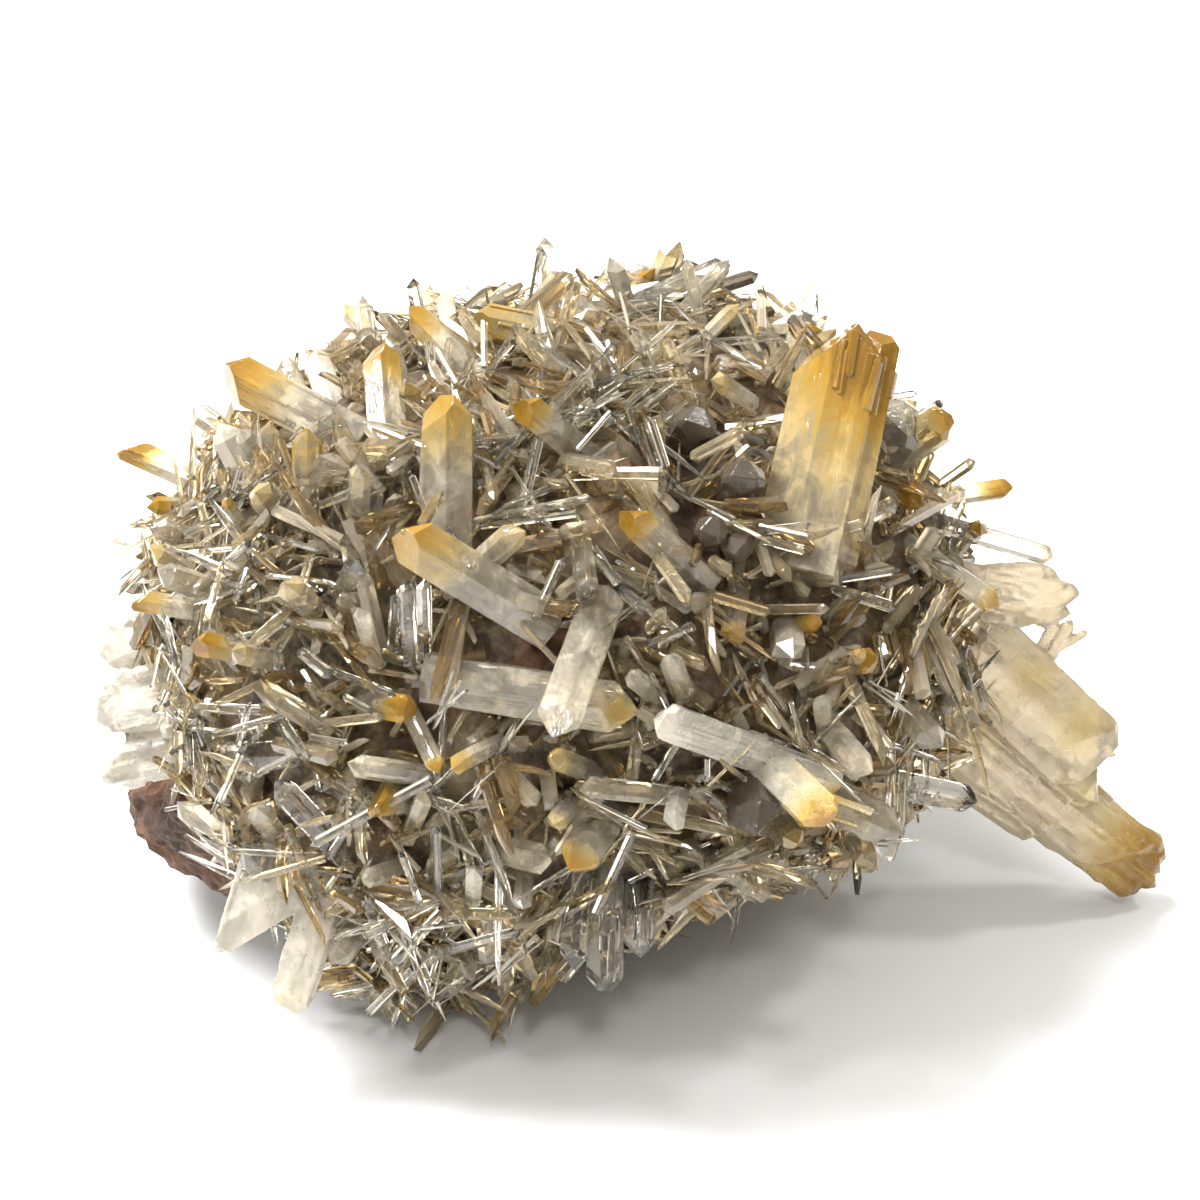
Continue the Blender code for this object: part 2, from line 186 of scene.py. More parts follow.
# Materials
def newMaterial(name, colour, roughness, transmission=0.0, ior=1.54):
    material = bpy.data.materials.new(name)
    material.use_nodes = True
    shader = material.node_tree.nodes["Principled BSDF"]
    shader.inputs["Base Color"].default_value = (*colour, 1)
    shader.inputs["Roughness"].default_value = roughness
    shader.inputs["IOR"].default_value = ior
    shader.inputs["Transmission Weight"].default_value = transmission
    return material, material.node_tree, shader


def noiseOn(tree, vector, scale, detail=4.0, roughness=0.55, distortion=0.0):
    node = put(tree, "ShaderNodeTexNoise")
    feed(tree, node.inputs["Vector"], vector)
    node.inputs["Scale"].default_value = scale
    node.inputs["Detail"].default_value = detail
    node.inputs["Roughness"].default_value = roughness
    node.inputs["Distortion"].default_value = distortion
    return node.outputs["Fac"]


def remap(tree, value, low, high, newLow, newHigh):
    node = put(tree, "ShaderNodeMapRange")
    feed(tree, node.inputs["Value"], value)
    for label, number in (("From Min", low), ("From Max", high), ("To Min", newLow), ("To Max", newHigh)):
        feed(tree, node.inputs[label], number)
    return node.outputs["Result"]


def ramp(tree, value, stops):
    node = put(tree, "ShaderNodeValToRGB")
    feed(tree, node.inputs["Fac"], value)
    scale = node.color_ramp
    while len(scale.elements) < len(stops):
        scale.elements.new(0.5)
    for element, (place, colour) in zip(scale.elements, stops):
        element.position = place
        element.color = (*colour, 1)
    return node.outputs["Color"]


def mixColour(tree, share, first, second, blend="MIX"):
    node = put(tree, "ShaderNodeMix", data_type="RGBA", blend_type=blend)
    feed(tree, node.inputs[0], share)
    for socket, value in ((node.inputs[6], first), (node.inputs[7], second)):
        feed(tree, socket, value if isinstance(value, bpy.types.NodeSocket) else (*value, 1))
    return node.outputs[2]


def attribute(tree, name, output="Fac"):
    node = put(tree, "ShaderNodeAttribute", attribute_name=name)
    return node.outputs[output]


def bump(tree, shader, height, depth):
    node = put(tree, "ShaderNodeBump")
    node.inputs["Distance"].default_value = depth
    feed(tree, node.inputs["Height"], height)
    tree.links.new(node.outputs["Normal"], shader.inputs["Normal"])


def crystalMaterial(name, stops, clear, dense, veil, roughness=(0.10, 0.30), depth=0.00010):
    # Colour and clarity run with the piece's own "stain", striations and veils with its "growth"
    material, tree, shader = newMaterial(name, (0.8, 0.8, 0.8), 0.2, clear)
    place = put(tree, "ShaderNodeTexCoord").outputs["Object"]
    growth = attribute(tree, "growth", "Vector")
    cloud = noiseOn(tree, place, 260, 3, 0.6, 0.5)
    fibres = noiseOn(tree, vectorMaths(tree, "MULTIPLY", growth, (1.0, 1.0, 0.14)), 1300, 2, 0.6)
    mottled = maths(tree, "ADD", attribute(tree, "stain"), remap(tree, cloud, 0.3, 0.7, -0.15, 0.15))
    mottled = maths(tree, "ADD", mottled, remap(tree, fibres, 0.3, 0.7, -0.10, 0.10))
    colour = ramp(tree, mottled, stops)
    unstained = remap(tree, attribute(tree, "stain"), 0.1, 0.6, 1.0, 0.0)
    veils = maths(tree, "MULTIPLY", remap(tree, cloud, 0.45, 0.62, 0.0, veil), unstained)
    colour = mixColour(tree, veils, colour, (0.78, 0.73, 0.64))
    tree.links.new(colour, shader.inputs["Base Color"])
    clarity = maths(tree, "SUBTRACT", remap(tree, mottled, 0.1, 0.8, clear, dense),
                    maths(tree, "MULTIPLY", veils, 0.8))
    tree.links.new(clarity, shader.inputs["Transmission Weight"])
    tree.links.new(remap(tree, cloud, 0.3, 0.7, *roughness), shader.inputs["Roughness"])
    bump(tree, shader, maths(tree, "ADD", fibres, cloud), depth)
    return material


finishes = {
    "mango": crystalMaterial("mangoQuartz", [
        (0.00, (0.78, 0.71, 0.57)), (0.24, (0.72, 0.59, 0.34)), (0.44, (0.61, 0.43, 0.13)),
        (0.68, (0.46, 0.26, 0.032)), (1.00, (0.27, 0.135, 0.010))], 0.84, 0.35, 0.25, (0.05, 0.20)),
    "milky": crystalMaterial("milkyQuartz", [
        (0.00, (0.60, 0.50, 0.34)), (0.35, (0.58, 0.45, 0.21)), (0.65, (0.47, 0.29, 0.065)),
        (1.00, (0.27, 0.14, 0.018))], 0.60, 0.25, 0.20, (0.20, 0.42), 0.00012),
    "pale": crystalMaterial("paleQuartz", [
        (0.00, (0.78, 0.73, 0.62)), (0.35, (0.74, 0.63, 0.38)), (0.65, (0.60, 0.40, 0.10)),
        (1.00, (0.38, 0.20, 0.03))], 0.60, 0.25, 0.30, (0.15, 0.40), 0.00012),
    "clear": crystalMaterial("clearQuartz", [
        (0.00, (0.90, 0.86, 0.78)), (0.60, (0.84, 0.76, 0.60)), (1.00, (0.66, 0.40, 0.07))],
        0.99, 0.55, 0.10, (0.01, 0.06), 0.00002),
    "smoky": crystalMaterial("smokyQuartz", [
        (0.00, (0.18, 0.142, 0.100)), (0.60, (0.12, 0.092, 0.064)), (1.00, (0.07, 0.050, 0.034))],
        0.70, 0.50, 0.05, (0.10, 0.30), 0.00012),
}


def needleMaterial(name, colour, roughness, transmission):
    return newMaterial(name, colour, roughness, transmission)[0]


needleFinishes = {
    "clear": needleMaterial("needleClear", (0.97, 0.92, 0.80), 0.0, 0.97),
    "straw": needleMaterial("needleStraw", (0.91, 0.78, 0.53), 0.04, 0.90),
    "milky": needleMaterial("needleMilky", (0.86, 0.75, 0.56), 0.16, 0.80),
    "olive": needleMaterial("needleOlive", (0.76, 0.57, 0.30), 0.04, 0.93),
    "hair": needleMaterial("needleHair", (0.86, 0.80, 0.68), 0.12, 0.50),
}


def groundMaterial():
    material, tree, shader = newMaterial("druseGround", (0.4, 0.33, 0.22), 0.6)
    place = put(tree, "ShaderNodeTexCoord").outputs["Object"]
    broad = noiseOn(tree, place, 70, 4)
    fine = noiseOn(tree, place, 520, 5, 0.65)
    # The ground's brown is partly its own colour and partly painted shade: its darkest stops stand for
    # the shade that falls between the needles
    colour = ramp(tree, fine, [
        (0.30, (0.018, 0.011, 0.004)), (0.48, (0.055, 0.036, 0.014)), (0.62, (0.115, 0.078, 0.034)),
        (0.78, (0.24, 0.175, 0.092))])
    colour = mixColour(tree, remap(tree, broad, 0.52, 0.66, 0.0, 0.7), colour, (0.15, 0.085, 0.028))
    colour = mixColour(tree, remap(tree, attribute(tree, "fineness"), 0.4, 1.0, 0.0, 0.75), colour,
                       (0.46, 0.37, 0.24))
    rust = maths(tree, "MULTIPLY", attribute(tree, "rust"), remap(tree, fine, 0.35, 0.6, 0.4, 1.0))
    colour = mixColour(tree, rust, colour, (0.20, 0.065, 0.025))
    # painted shade: the ground is darkened nearly to black in the hollows
    colour = mixColour(tree, attribute(tree, "pit"), colour, (0.028, 0.018, 0.010))
    tree.links.new(colour, shader.inputs["Base Color"])
    tree.links.new(remap(tree, fine, 0.3, 0.7, 0.75, 0.35), shader.inputs["Roughness"])
    bump(tree, shader, fine, 0.0006)
    return material


def rockMaterial():
    material, tree, shader = newMaterial("hostRock", (0.22, 0.11, 0.06), 0.85)
    place = put(tree, "ShaderNodeTexCoord").outputs["Object"]
    broad = noiseOn(tree, place, 120, 6, 0.6, 0.4)
    fine = noiseOn(tree, place, 900, 6, 0.7)
    colour = ramp(tree, broad, [
        (0.28, (0.014, 0.008, 0.005)), (0.46, (0.060, 0.027, 0.013)), (0.60, (0.115, 0.052, 0.025)),
        (0.76, (0.19, 0.115, 0.070))])
    colour = mixColour(tree, remap(tree, fine, 0.58, 0.75, 0.0, 0.5), colour, (0.27, 0.20, 0.14))
    tree.links.new(colour, shader.inputs["Base Color"])
    tree.links.new(remap(tree, fine, 0.3, 0.7, 0.95, 0.6), shader.inputs["Roughness"])
    bump(tree, shader, maths(tree, "ADD", broad, maths(tree, "MULTIPLY", fine, 0.4)), 0.0009)
    return material


def addPiece(name, mesh, slot, replaced, materials):
    piece = bpy.data.objects.new(name, mesh)
    bpy.context.scene.collection.objects.link(piece)
    chosen = [face.material_index for face in mesh.polygons]
    mesh.materials.clear()
    for material in materials:
        mesh.materials.append(material)
    mesh.polygons.foreach_set("material_index", [min(slot, len(materials) - 1) for slot in chosen])
    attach(piece, "root")
    if replaced:
        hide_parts(*replaced)
    return piece


# The ground that the needles stand on, with its hollows and rust spots; the hollows are also painted dark
# as shade
ground = {
    "detail": 6,
    "roughness": 0.0009,
    "sink": 0.0014,
    "lowSink": 0.0028,         # and this much more towards the underside
    # right, up, radius in millimetres of the photograph, depth of the hollow, rust
    "spots": [
        (20.5, 26.5, 5.2, 4.6, 0.5), (16.5, 21.5, 6.0, 3.6, 0.4), (10.5, 17.5, 4.2, 3.5, 1.0),
        (13.5, 13.5, 4.6, 3.0, 0.6), (3.5, 3.0, 4.2, 4.0, 0.3), (-8.0, 10.0, 3.0, 3.0, 0.1),
        (-7.0, -7.0, 2.4, 2.2, 1.0), (-24.0, -12.5, 3.0, 3.0, 0.8), (-26.0, -19.0, 3.0, 3.0, 0.3),
        (-49.5, -15.5, 2.2, 2.6, 0.1), (-38.5, -40.0, 2.2, 2.6, 0.1), (44.0, 13.0, 2.4, 2.4, 0.6),
        (38.5, -12.0, 2.6, 2.4, 0.2), (-49.0, -25.5, 1.8, 2.0, 0.7), (-33.0, 14.0, 2.6, 2.4, 0.1),
        (4.0, -6.0, 2.0, 2.0, 0.0), (31.5, -15.5, 2.4, 2.4, 0.2),
    ],
    # right, up, radius of the places that only fine needles cover, and how much so
    "fineSpots": [
        (2, 38, 14, 1.0), (18, 44, 10, 1.0), (10, 30, 8, 0.7), (-48, 3, 12, 0.8), (-24, -46, 10, 0.9),
        (-45, -38, 8, 0.5), (-36, 12, 6, 0.5), (-12, 36, 7, 0.6), (30, 4, 6, 0.4),
    ],
}


def buildGround():
    rng = random.Random(7)
    spots = [(onGround(right, up), size * mm, depth * mm, rust)
             for right, up, size, depth, rust in ground["spots"]]
    for _ in range(34):        # more of them all round, where the photograph doesn't show it
        out = towards(rng.uniform(0.05, math.pi - 0.05), rng.uniform(-0.5, 1.3))
        point = mound["centre"] + out * groundRadius(out)
        size, depth = rng.uniform(1.8, 3.4), rng.uniform(1.5, 4)
        spots.append((point, size * mm, depth * mm, rng.choice((0, 0, 0.5, 1))))
    bm = bmesh.new()
    bmesh.ops.create_icosphere(bm, subdivisions=ground["detail"], radius=1.0)
    layerNames = ("pit", "rust", "prismRoom", "sprayRoom", "anyRoom", "fineness")
    for name in layerNames:
        bm.verts.layers.float.new(name)
    layers = {name: bm.verts.layers.float[name] for name in layerNames}
    fineSpots = [(onGround(right, up), size * mm, much) for right, up, size, much in ground["fineSpots"]]
    for vert in bm.verts:
        out = vert.co.normalized()
        low = min(1.0, max(0.0, (-out.z - 0.25) / 0.35))
        base = mound["centre"] + out * (groundRadius(out) - ground["sink"] - ground["lowSink"] * low)
        depth, rusty, hollow = 0.0, 0.0, 0.0
        for point, size, deep, rust in spots:
            near = math.exp(-((base - point).length / size) ** 2)
            depth += deep * near
            hollow = max(hollow, near)
            rusty = max(rusty, rust * math.exp(-((base - point).length / (1.5 * size)) ** 2))
        rough = noise.fractal(base * 260, 1.0, 2.0, 4) * ground["roughness"]
        vert.co = base + out * (rough - depth)
        # painted shade: the hollows get a dark colour, strongest at their middles
        vert[layers["pit"]] = min(1.0, hollow * 1.1) ** 1.5
        vert[layers["rust"]] = rusty
        fine = 0.5 + 1.6 * noise.noise(base * 55 + Vector((3, 1, 7)))
        fine = min(1.0, max([0.0, fine * 0.5] + [
            much * math.exp(-((base - point).length / size) ** 2) for point, size, much in fineSpots]))
        free = (1.0 - 0.85 * hollow) * (1.0 - 0.45 * min(1.0, rusty * 1.6))
        if vert.co.z < mound["underside"]:
            vert.co.z = mound["underside"]
            free = 0.0
        vert[layers["anyRoom"]] = free
        vert[layers["fineness"]] = fine
        vert[layers["prismRoom"]] = free * (1.0 - 0.85 * fine)
        vert[layers["sprayRoom"]] = free * (0.16 + 0.84 * fine)
    mesh = bpy.data.meshes.new("druseGround")
    bm.to_mesh(mesh)
    bm.free()
    mesh.shade_flat()
    return mesh


# Needles: one tree of Geometry Nodes grows sprays of them from the ground
def needleShapes(tree, tipShare):
    # Three six-sided needles, one unit long and wide, with differently placed points
    shapes = put(tree, "GeometryNodeJoinGeometry")
    for side, up in ((0.0, 0.0), (0.16, 0.10), (-0.12, 0.20)):
        line = put(tree, "GeometryNodeMeshLine")
        line.inputs["Count"].default_value = 3
        index = put(tree, "GeometryNodeInputIndex").outputs[0]
        last = maths(tree, "COMPARE", index, 2.0, 0.5)
        shoulder = maths(tree, "COMPARE", index, 1.0, 0.5)
        shoulder = maths(tree, "MULTIPLY", shoulder, maths(tree, "SUBTRACT", 1.0, tipShare))
        placed = through(tree, "GeometryNodeSetPosition", line.outputs["Mesh"])
        feed(tree, placed.inputs["Position"], combined(
            tree, maths(tree, "MULTIPLY", last, side), maths(tree, "MULTIPLY", last, up),
            maths(tree, "ADD", last, shoulder)))
        curve = through(tree, "GeometryNodeMeshToCurve", placed.outputs[0])
        upright = through(tree, "GeometryNodeSetCurveNormal", curve.outputs[0], mode="Z_UP")
        ring = put(tree, "GeometryNodeCurvePrimitiveCircle", mode="RADIUS")
        ring.inputs["Resolution"].default_value = 6
        ring.inputs["Radius"].default_value = 0.5
        tube = through(tree, "GeometryNodeCurveToMesh", upright.outputs[0])
        feed(tree, tube.inputs["Profile Curve"], ring.outputs["Curve"])
        tube.inputs["Fill Caps"].default_value = True
        pointed = maths(tree, "MULTIPLY", last, 0.9999)
        feed(tree, tube.inputs["Scale"], maths(tree, "SUBTRACT", 1.0, pointed))
        merged = through(tree, "GeometryNodeMergeByDistance", tube.outputs["Mesh"])
        merged.inputs["Distance"].default_value = 0.002
        single = through(tree, "GeometryNodeGeometryToInstance", merged.outputs[0])
        tree.links.new(single.outputs["Instances"], shapes.inputs["Geometry"])
    return shapes.outputs["Geometry"]


needleInputs = [
    ("Ground", "Geometry", None), ("Obstacles", "Object", None),
    ("Room Attribute", "String", "sprayRoom"), ("Sprays Per Square Metre", "Float", 20000.0),
    ("Needles In A Spray", "Int", 8),
    ("Shortest", "Float", 0.006), ("Longest", "Float", 0.014), ("Thinnest", "Float", 0.0004),
    ("Thickest", "Float", 0.0010), ("Togetherness", "Float", 0.0), ("Spread", "Float", 0.0005),
    ("Least Slope", "Float", 0.1), ("Most Slope", "Float", 1.0), ("Root Lift", "Float", 0.001),
    ("Tallest Rise", "Float", 0.0075), ("Floor Height", "Float", 0.0028), ("Tip Share", "Float", 0.05),
    ("Seed", "Int", 1), ("First Material", "Material", None), ("Second Material", "Material", None),
    ("Third Material", "Material", None),
]


def needleTree():
    tree = bpy.data.node_groups.new("needleSprays", "GeometryNodeTree")
    for label, kind, value in needleInputs:
        socket = tree.interface.new_socket(label, in_out="INPUT", socket_type="NodeSocket" + kind)
        if value is not None:
            socket.default_value = value
    tree.interface.new_socket("Needles", in_out="OUTPUT", socket_type="NodeSocketGeometry")
    given = put(tree, "NodeGroupInput").outputs

    def chance(kind, low, high, step, group=None):
        node = put(tree, "FunctionNodeRandomValue", data_type=kind)
        place = 0 if kind == "FLOAT_VECTOR" else 1
        feed(tree, node.inputs[2 * place], low)
        feed(tree, node.inputs[2 * place + 1], high)
        feed(tree, node.inputs["Seed"], maths(tree, "ADD", given["Seed"], float(step)))
        if group is not None:
            feed(tree, node.inputs["ID"], group)
        return node.outputs[place]

    scatter = through(tree, "GeometryNodeDistributePointsOnFaces", given["Ground"],
                      distribute_method="RANDOM")
    room = readLayer(tree, given["Room Attribute"])
    feed(tree, scatter.inputs["Density"], maths(tree, "MULTIPLY", given["Sprays Per Square Metre"], room))
    feed(tree, scatter.inputs["Seed"], given["Seed"])
    index = put(tree, "GeometryNodeInputIndex").outputs[0]
    numbered = storeLayer(tree, scatter.outputs["Points"], "sprayNumber", index, kind="INT")
    sprayNumber = readLayer(tree, "sprayNumber", "INT")
    spray = through(tree, "GeometryNodeDuplicateElements", numbered, domain="POINT")
    feed(tree, spray.inputs["Amount"], given["Needles In A Spray"])

    # Where each needle points: partly its own way, partly that of its spray
    normal = scatter.outputs["Normal"]
    own = chance("FLOAT_VECTOR", (-1, -1, -1), (1, 1, 1), 1)
    shared = chance("FLOAT_VECTOR", (-1, -1, -1), (1, 1, 1), 10, sprayNumber)
    apart = maths(tree, "SUBTRACT", 1.0, given["Togetherness"])
    loose = vectorMaths(tree, "ADD", vectorMaths(tree, "SCALE", own, scale=apart),
                        vectorMaths(tree, "SCALE", shared, scale=given["Togetherness"]))
    along = vectorMaths(tree, "DOT_PRODUCT", loose, normal)
    flat = vectorMaths(tree, "SUBTRACT", loose, vectorMaths(tree, "SCALE", normal, scale=along))
    flat = vectorMaths(tree, "NORMALIZE", flat)
    slopes = given["Least Slope"], given["Most Slope"]
    ownSlope = maths(tree, "MULTIPLY", apart, chance("FLOAT", *slopes, 8))
    sharedSlope = chance("FLOAT", *slopes, 11, sprayNumber)
    raised = maths(tree, "ADD", ownSlope, maths(tree, "MULTIPLY", given["Togetherness"], sharedSlope))
    leaning = vectorMaths(tree, "ADD", flat, vectorMaths(tree, "SCALE", normal, scale=raised))
    direction = vectorMaths(tree, "NORMALIZE", leaning)
    lift = chance("FLOAT", 0.0, given["Root Lift"], 9)
    risen = through(tree, "GeometryNodeSetPosition", spray.outputs["Geometry"])
    astray = chance("FLOAT_VECTOR", (-1, -1, -1), (1, 1, 1), 12)
    aside = vectorMaths(tree, "SCALE", astray, scale=given["Spread"])
    lifted = vectorMaths(tree, "SCALE", normal, scale=lift)
    feed(tree, risen.inputs["Offset"], vectorMaths(tree, "ADD", lifted, aside))

    # How long it is: no taller than the layer, above the floor and short of the crystals
    size = maths(tree, "POWER", chance("FLOAT", 0.0, 1.0, 4), 2.2)
    luck = maths(tree, "MULTIPLY", chance("FLOAT", 0.0, 1.0, 2), 0.6)
    reach = maths(tree, "ADD", maths(tree, "MULTIPLY", size, 0.4), luck)
    span = maths(tree, "SUBTRACT", given["Longest"], given["Shortest"])
    wanted = maths(tree, "ADD", given["Shortest"], maths(tree, "MULTIPLY", span, reach))
    steep = maths(tree, "MAXIMUM", vectorMaths(tree, "DOT_PRODUCT", direction, normal), 0.05)
    roomAbove = maths(tree, "SUBTRACT", given["Tallest Rise"], lift)
    length = maths(tree, "MINIMUM", wanted, maths(tree, "DIVIDE", roomAbove, steep))
    position = put(tree, "GeometryNodeInputPosition").outputs[0]
    above = maths(tree, "SUBTRACT", separated(tree, position)["Z"], given["Floor Height"])
    downwards = maths(tree, "MULTIPLY", separated(tree, direction)["Z"], -1.0)
    downwards = maths(tree, "MAXIMUM", downwards, 0.001)
    length = maths(tree, "MINIMUM", length, maths(tree, "DIVIDE", above, downwards))
    shown = put(tree, "GeometryNodeObjectInfo", transform_space="RELATIVE")
    feed(tree, shown.inputs["Object"], given["Obstacles"])
    ray = put(tree, "GeometryNodeRaycast")
    feed(tree, ray.inputs["Target Geometry"], shown.outputs["Geometry"])
    feed(tree, ray.inputs["Source Position"], position)
    feed(tree, ray.inputs["Ray Direction"], direction)
    ray.inputs["Ray Length"].default_value = 0.03
    missed = maths(tree, "SUBTRACT", 1.0, ray.outputs["Is Hit"])
    clearRun = maths(tree, "ADD", ray.outputs["Hit Distance"], missed)
    length = maths(tree, "MINIMUM", length, maths(tree, "SUBTRACT", clearRun, 0.0004))
    facing = vectorMaths(tree, "DOT_PRODUCT", ray.outputs["Hit Normal"], direction)
    inside = maths(tree, "MULTIPLY", maths(tree, "GREATER_THAN", facing, 0.0), ray.outputs["Is Hit"])
    length = maths(tree, "MULTIPLY", length, maths(tree, "SUBTRACT", 1.0, inside))
    sized = storeLayer(tree, risen.outputs["Geometry"], "needleSize", size)
    stored = storeLayer(tree, sized, "needleLength", length)
    kept = through(tree, "GeometryNodeDeleteGeometry", stored, domain="POINT")
    least = maths(tree, "MULTIPLY", given["Shortest"], 0.45)
    feed(tree, kept.inputs["Selection"], maths(tree, "LESS_THAN", length, least))

    # The needles themselves
    aim = put(tree, "FunctionNodeAlignRotationToVector", axis="Z")
    feed(tree, aim.inputs["Vector"], direction)
    twist = put(tree, "FunctionNodeAxisAngleToRotation")
    twist.inputs["Axis"].default_value = (0, 0, 1)
    feed(tree, twist.inputs["Angle"], chance("FLOAT", 0.0, 1.05, 3))
    turned = through(tree, "FunctionNodeRotateRotation", aim.outputs[0], rotation_space="LOCAL")
    tree.links.new(twist.outputs[0], turned.inputs[1])
    spread = maths(tree, "SUBTRACT", given["Thickest"], given["Thinnest"])
    spread = maths(tree, "MULTIPLY", spread, readLayer(tree, "needleSize"))
    width = maths(tree, "ADD", given["Thinnest"], spread)
    thickness = maths(tree, "MULTIPLY", width, chance("FLOAT", 0.65, 1.0, 5))
    placed = through(tree, "GeometryNodeInstanceOnPoints", kept.outputs["Geometry"])
    placed.inputs["Pick Instance"].default_value = True
    feed(tree, placed.inputs["Instance"], needleShapes(tree, given["Tip Share"]))
    feed(tree, placed.inputs["Instance Index"], maths(tree, "FLOOR", chance("FLOAT", 0.0, 2.999, 6)))
    feed(tree, placed.inputs["Rotation"], turned.outputs[0])
    feed(tree, placed.inputs["Scale"], combined(tree, width, thickness, readLayer(tree, "needleLength")))
    toned = storeLayer(tree, placed.outputs["Instances"], "tone", chance("FLOAT", 0.0, 1.0, 7),
                       "INSTANCE")
    geometry = through(tree, "GeometryNodeRealizeInstances", toned).outputs["Geometry"]
    tone = readLayer(tree, "tone")
    for label, least in (("First Material", -1.0), ("Second Material", 0.45), ("Third Material", 0.78)):
        painted = through(tree, "GeometryNodeSetMaterial", geometry)
        feed(tree, painted.inputs["Material"], given[label])
        feed(tree, painted.inputs["Selection"], maths(tree, "GREATER_THAN", tone, least))
        geometry = painted.outputs["Geometry"]
    facets = through(tree, "GeometryNodeSetShadeSmooth", geometry)
    facets.inputs["Shade Smooth"].default_value = False
    out = put(tree, "NodeGroupOutput")
    tree.links.new(facets.outputs["Geometry"], out.inputs[0])
    return tree


def growNeedles(tree, groundMesh, obstacles, settings):
    base = bpy.data.objects.new("needleBase", groundMesh)
    bpy.context.scene.collection.objects.link(base)
    grower = base.modifiers.new("needles", "NODES")
    grower.node_group = tree
    names = {item.name: item.identifier for item in tree.interface.items_tree if item.in_out == "INPUT"}
    grower[names["Obstacles"]] = obstacles
    for label, value in settings["inputs"].items():
        grower[names[label]] = value
    for order, finish in zip(("First", "Second", "Third"), settings["finishes"]):
        grower[names[order + " Material"]] = needleFinishes[finish]
    graph = bpy.context.evaluated_depsgraph_get()
    mesh = bpy.data.meshes.new_from_object(base.evaluated_get(graph))
    bpy.data.objects.remove(base)
    for face in mesh.polygons:      # the first slot is the ground's own, which is empty
        face.material_index -= 1
    return mesh


needleCrops = {
    "needleStubble": {
        "inputs": {"Room Attribute": "anyRoom", "Sprays Per Square Metre": 46000.0,
                   "Needles In A Spray": 2, "Togetherness": 0.3, "Spread": 0.0010, "Shortest": 0.0030,
                   "Longest": 0.0064, "Thinnest": 0.0008, "Thickest": 0.0028, "Least Slope": 0.1,
                   "Most Slope": 1.2, "Root Lift": 0.0010, "Tallest Rise": 0.0042, "Tip Share": 0.14,
                   "Seed": 71},
        "finishes": ("straw", "olive", "milky"),
    },
    "needlePrisms": {
        "inputs": {"Room Attribute": "prismRoom", "Sprays Per Square Metre": 27000.0,
                   "Needles In A Spray": 4, "Togetherness": 0.70, "Spread": 0.0018, "Shortest": 0.0050,
                   "Longest": 0.0125, "Thinnest": 0.0007, "Thickest": 0.0032, "Least Slope": 0.0,
                   "Most Slope": 0.6, "Root Lift": 0.0032, "Tallest Rise": 0.0056, "Tip Share": 0.08,
                   "Seed": 3},
        "finishes": ("straw", "olive", "milky"),
    },
    "needleSprays": {
        "inputs": {"Room Attribute": "sprayRoom", "Sprays Per Square Metre": 20000.0,
                   "Needles In A Spray": 8, "Togetherness": 0.15, "Spread": 0.0008, "Shortest": 0.0055,
                   "Longest": 0.0140, "Thinnest": 0.00045, "Thickest": 0.0016, "Least Slope": 0.0,
                   "Most Slope": 0.5, "Root Lift": 0.0036, "Tallest Rise": 0.0056, "Tip Share": 0.04,
                   "Seed": 23},
        "finishes": ("clear", "straw", "clear"),
    },
    "needleHairs": {
        "inputs": {"Room Attribute": "sprayRoom", "Sprays Per Square Metre": 4500.0,
                   "Needles In A Spray": 8, "Togetherness": 0.4, "Spread": 0.0010, "Shortest": 0.005,
                   "Longest": 0.0100, "Thinnest": 0.0002, "Thickest": 0.0005, "Least Slope": 0.1,
                   "Most Slope": 0.9, "Root Lift": 0.0040, "Tallest Rise": 0.0062, "Tip Share": 0.03,
                   "Seed": 41},
        "finishes": ("hair", "straw", "hair"),
    },
}

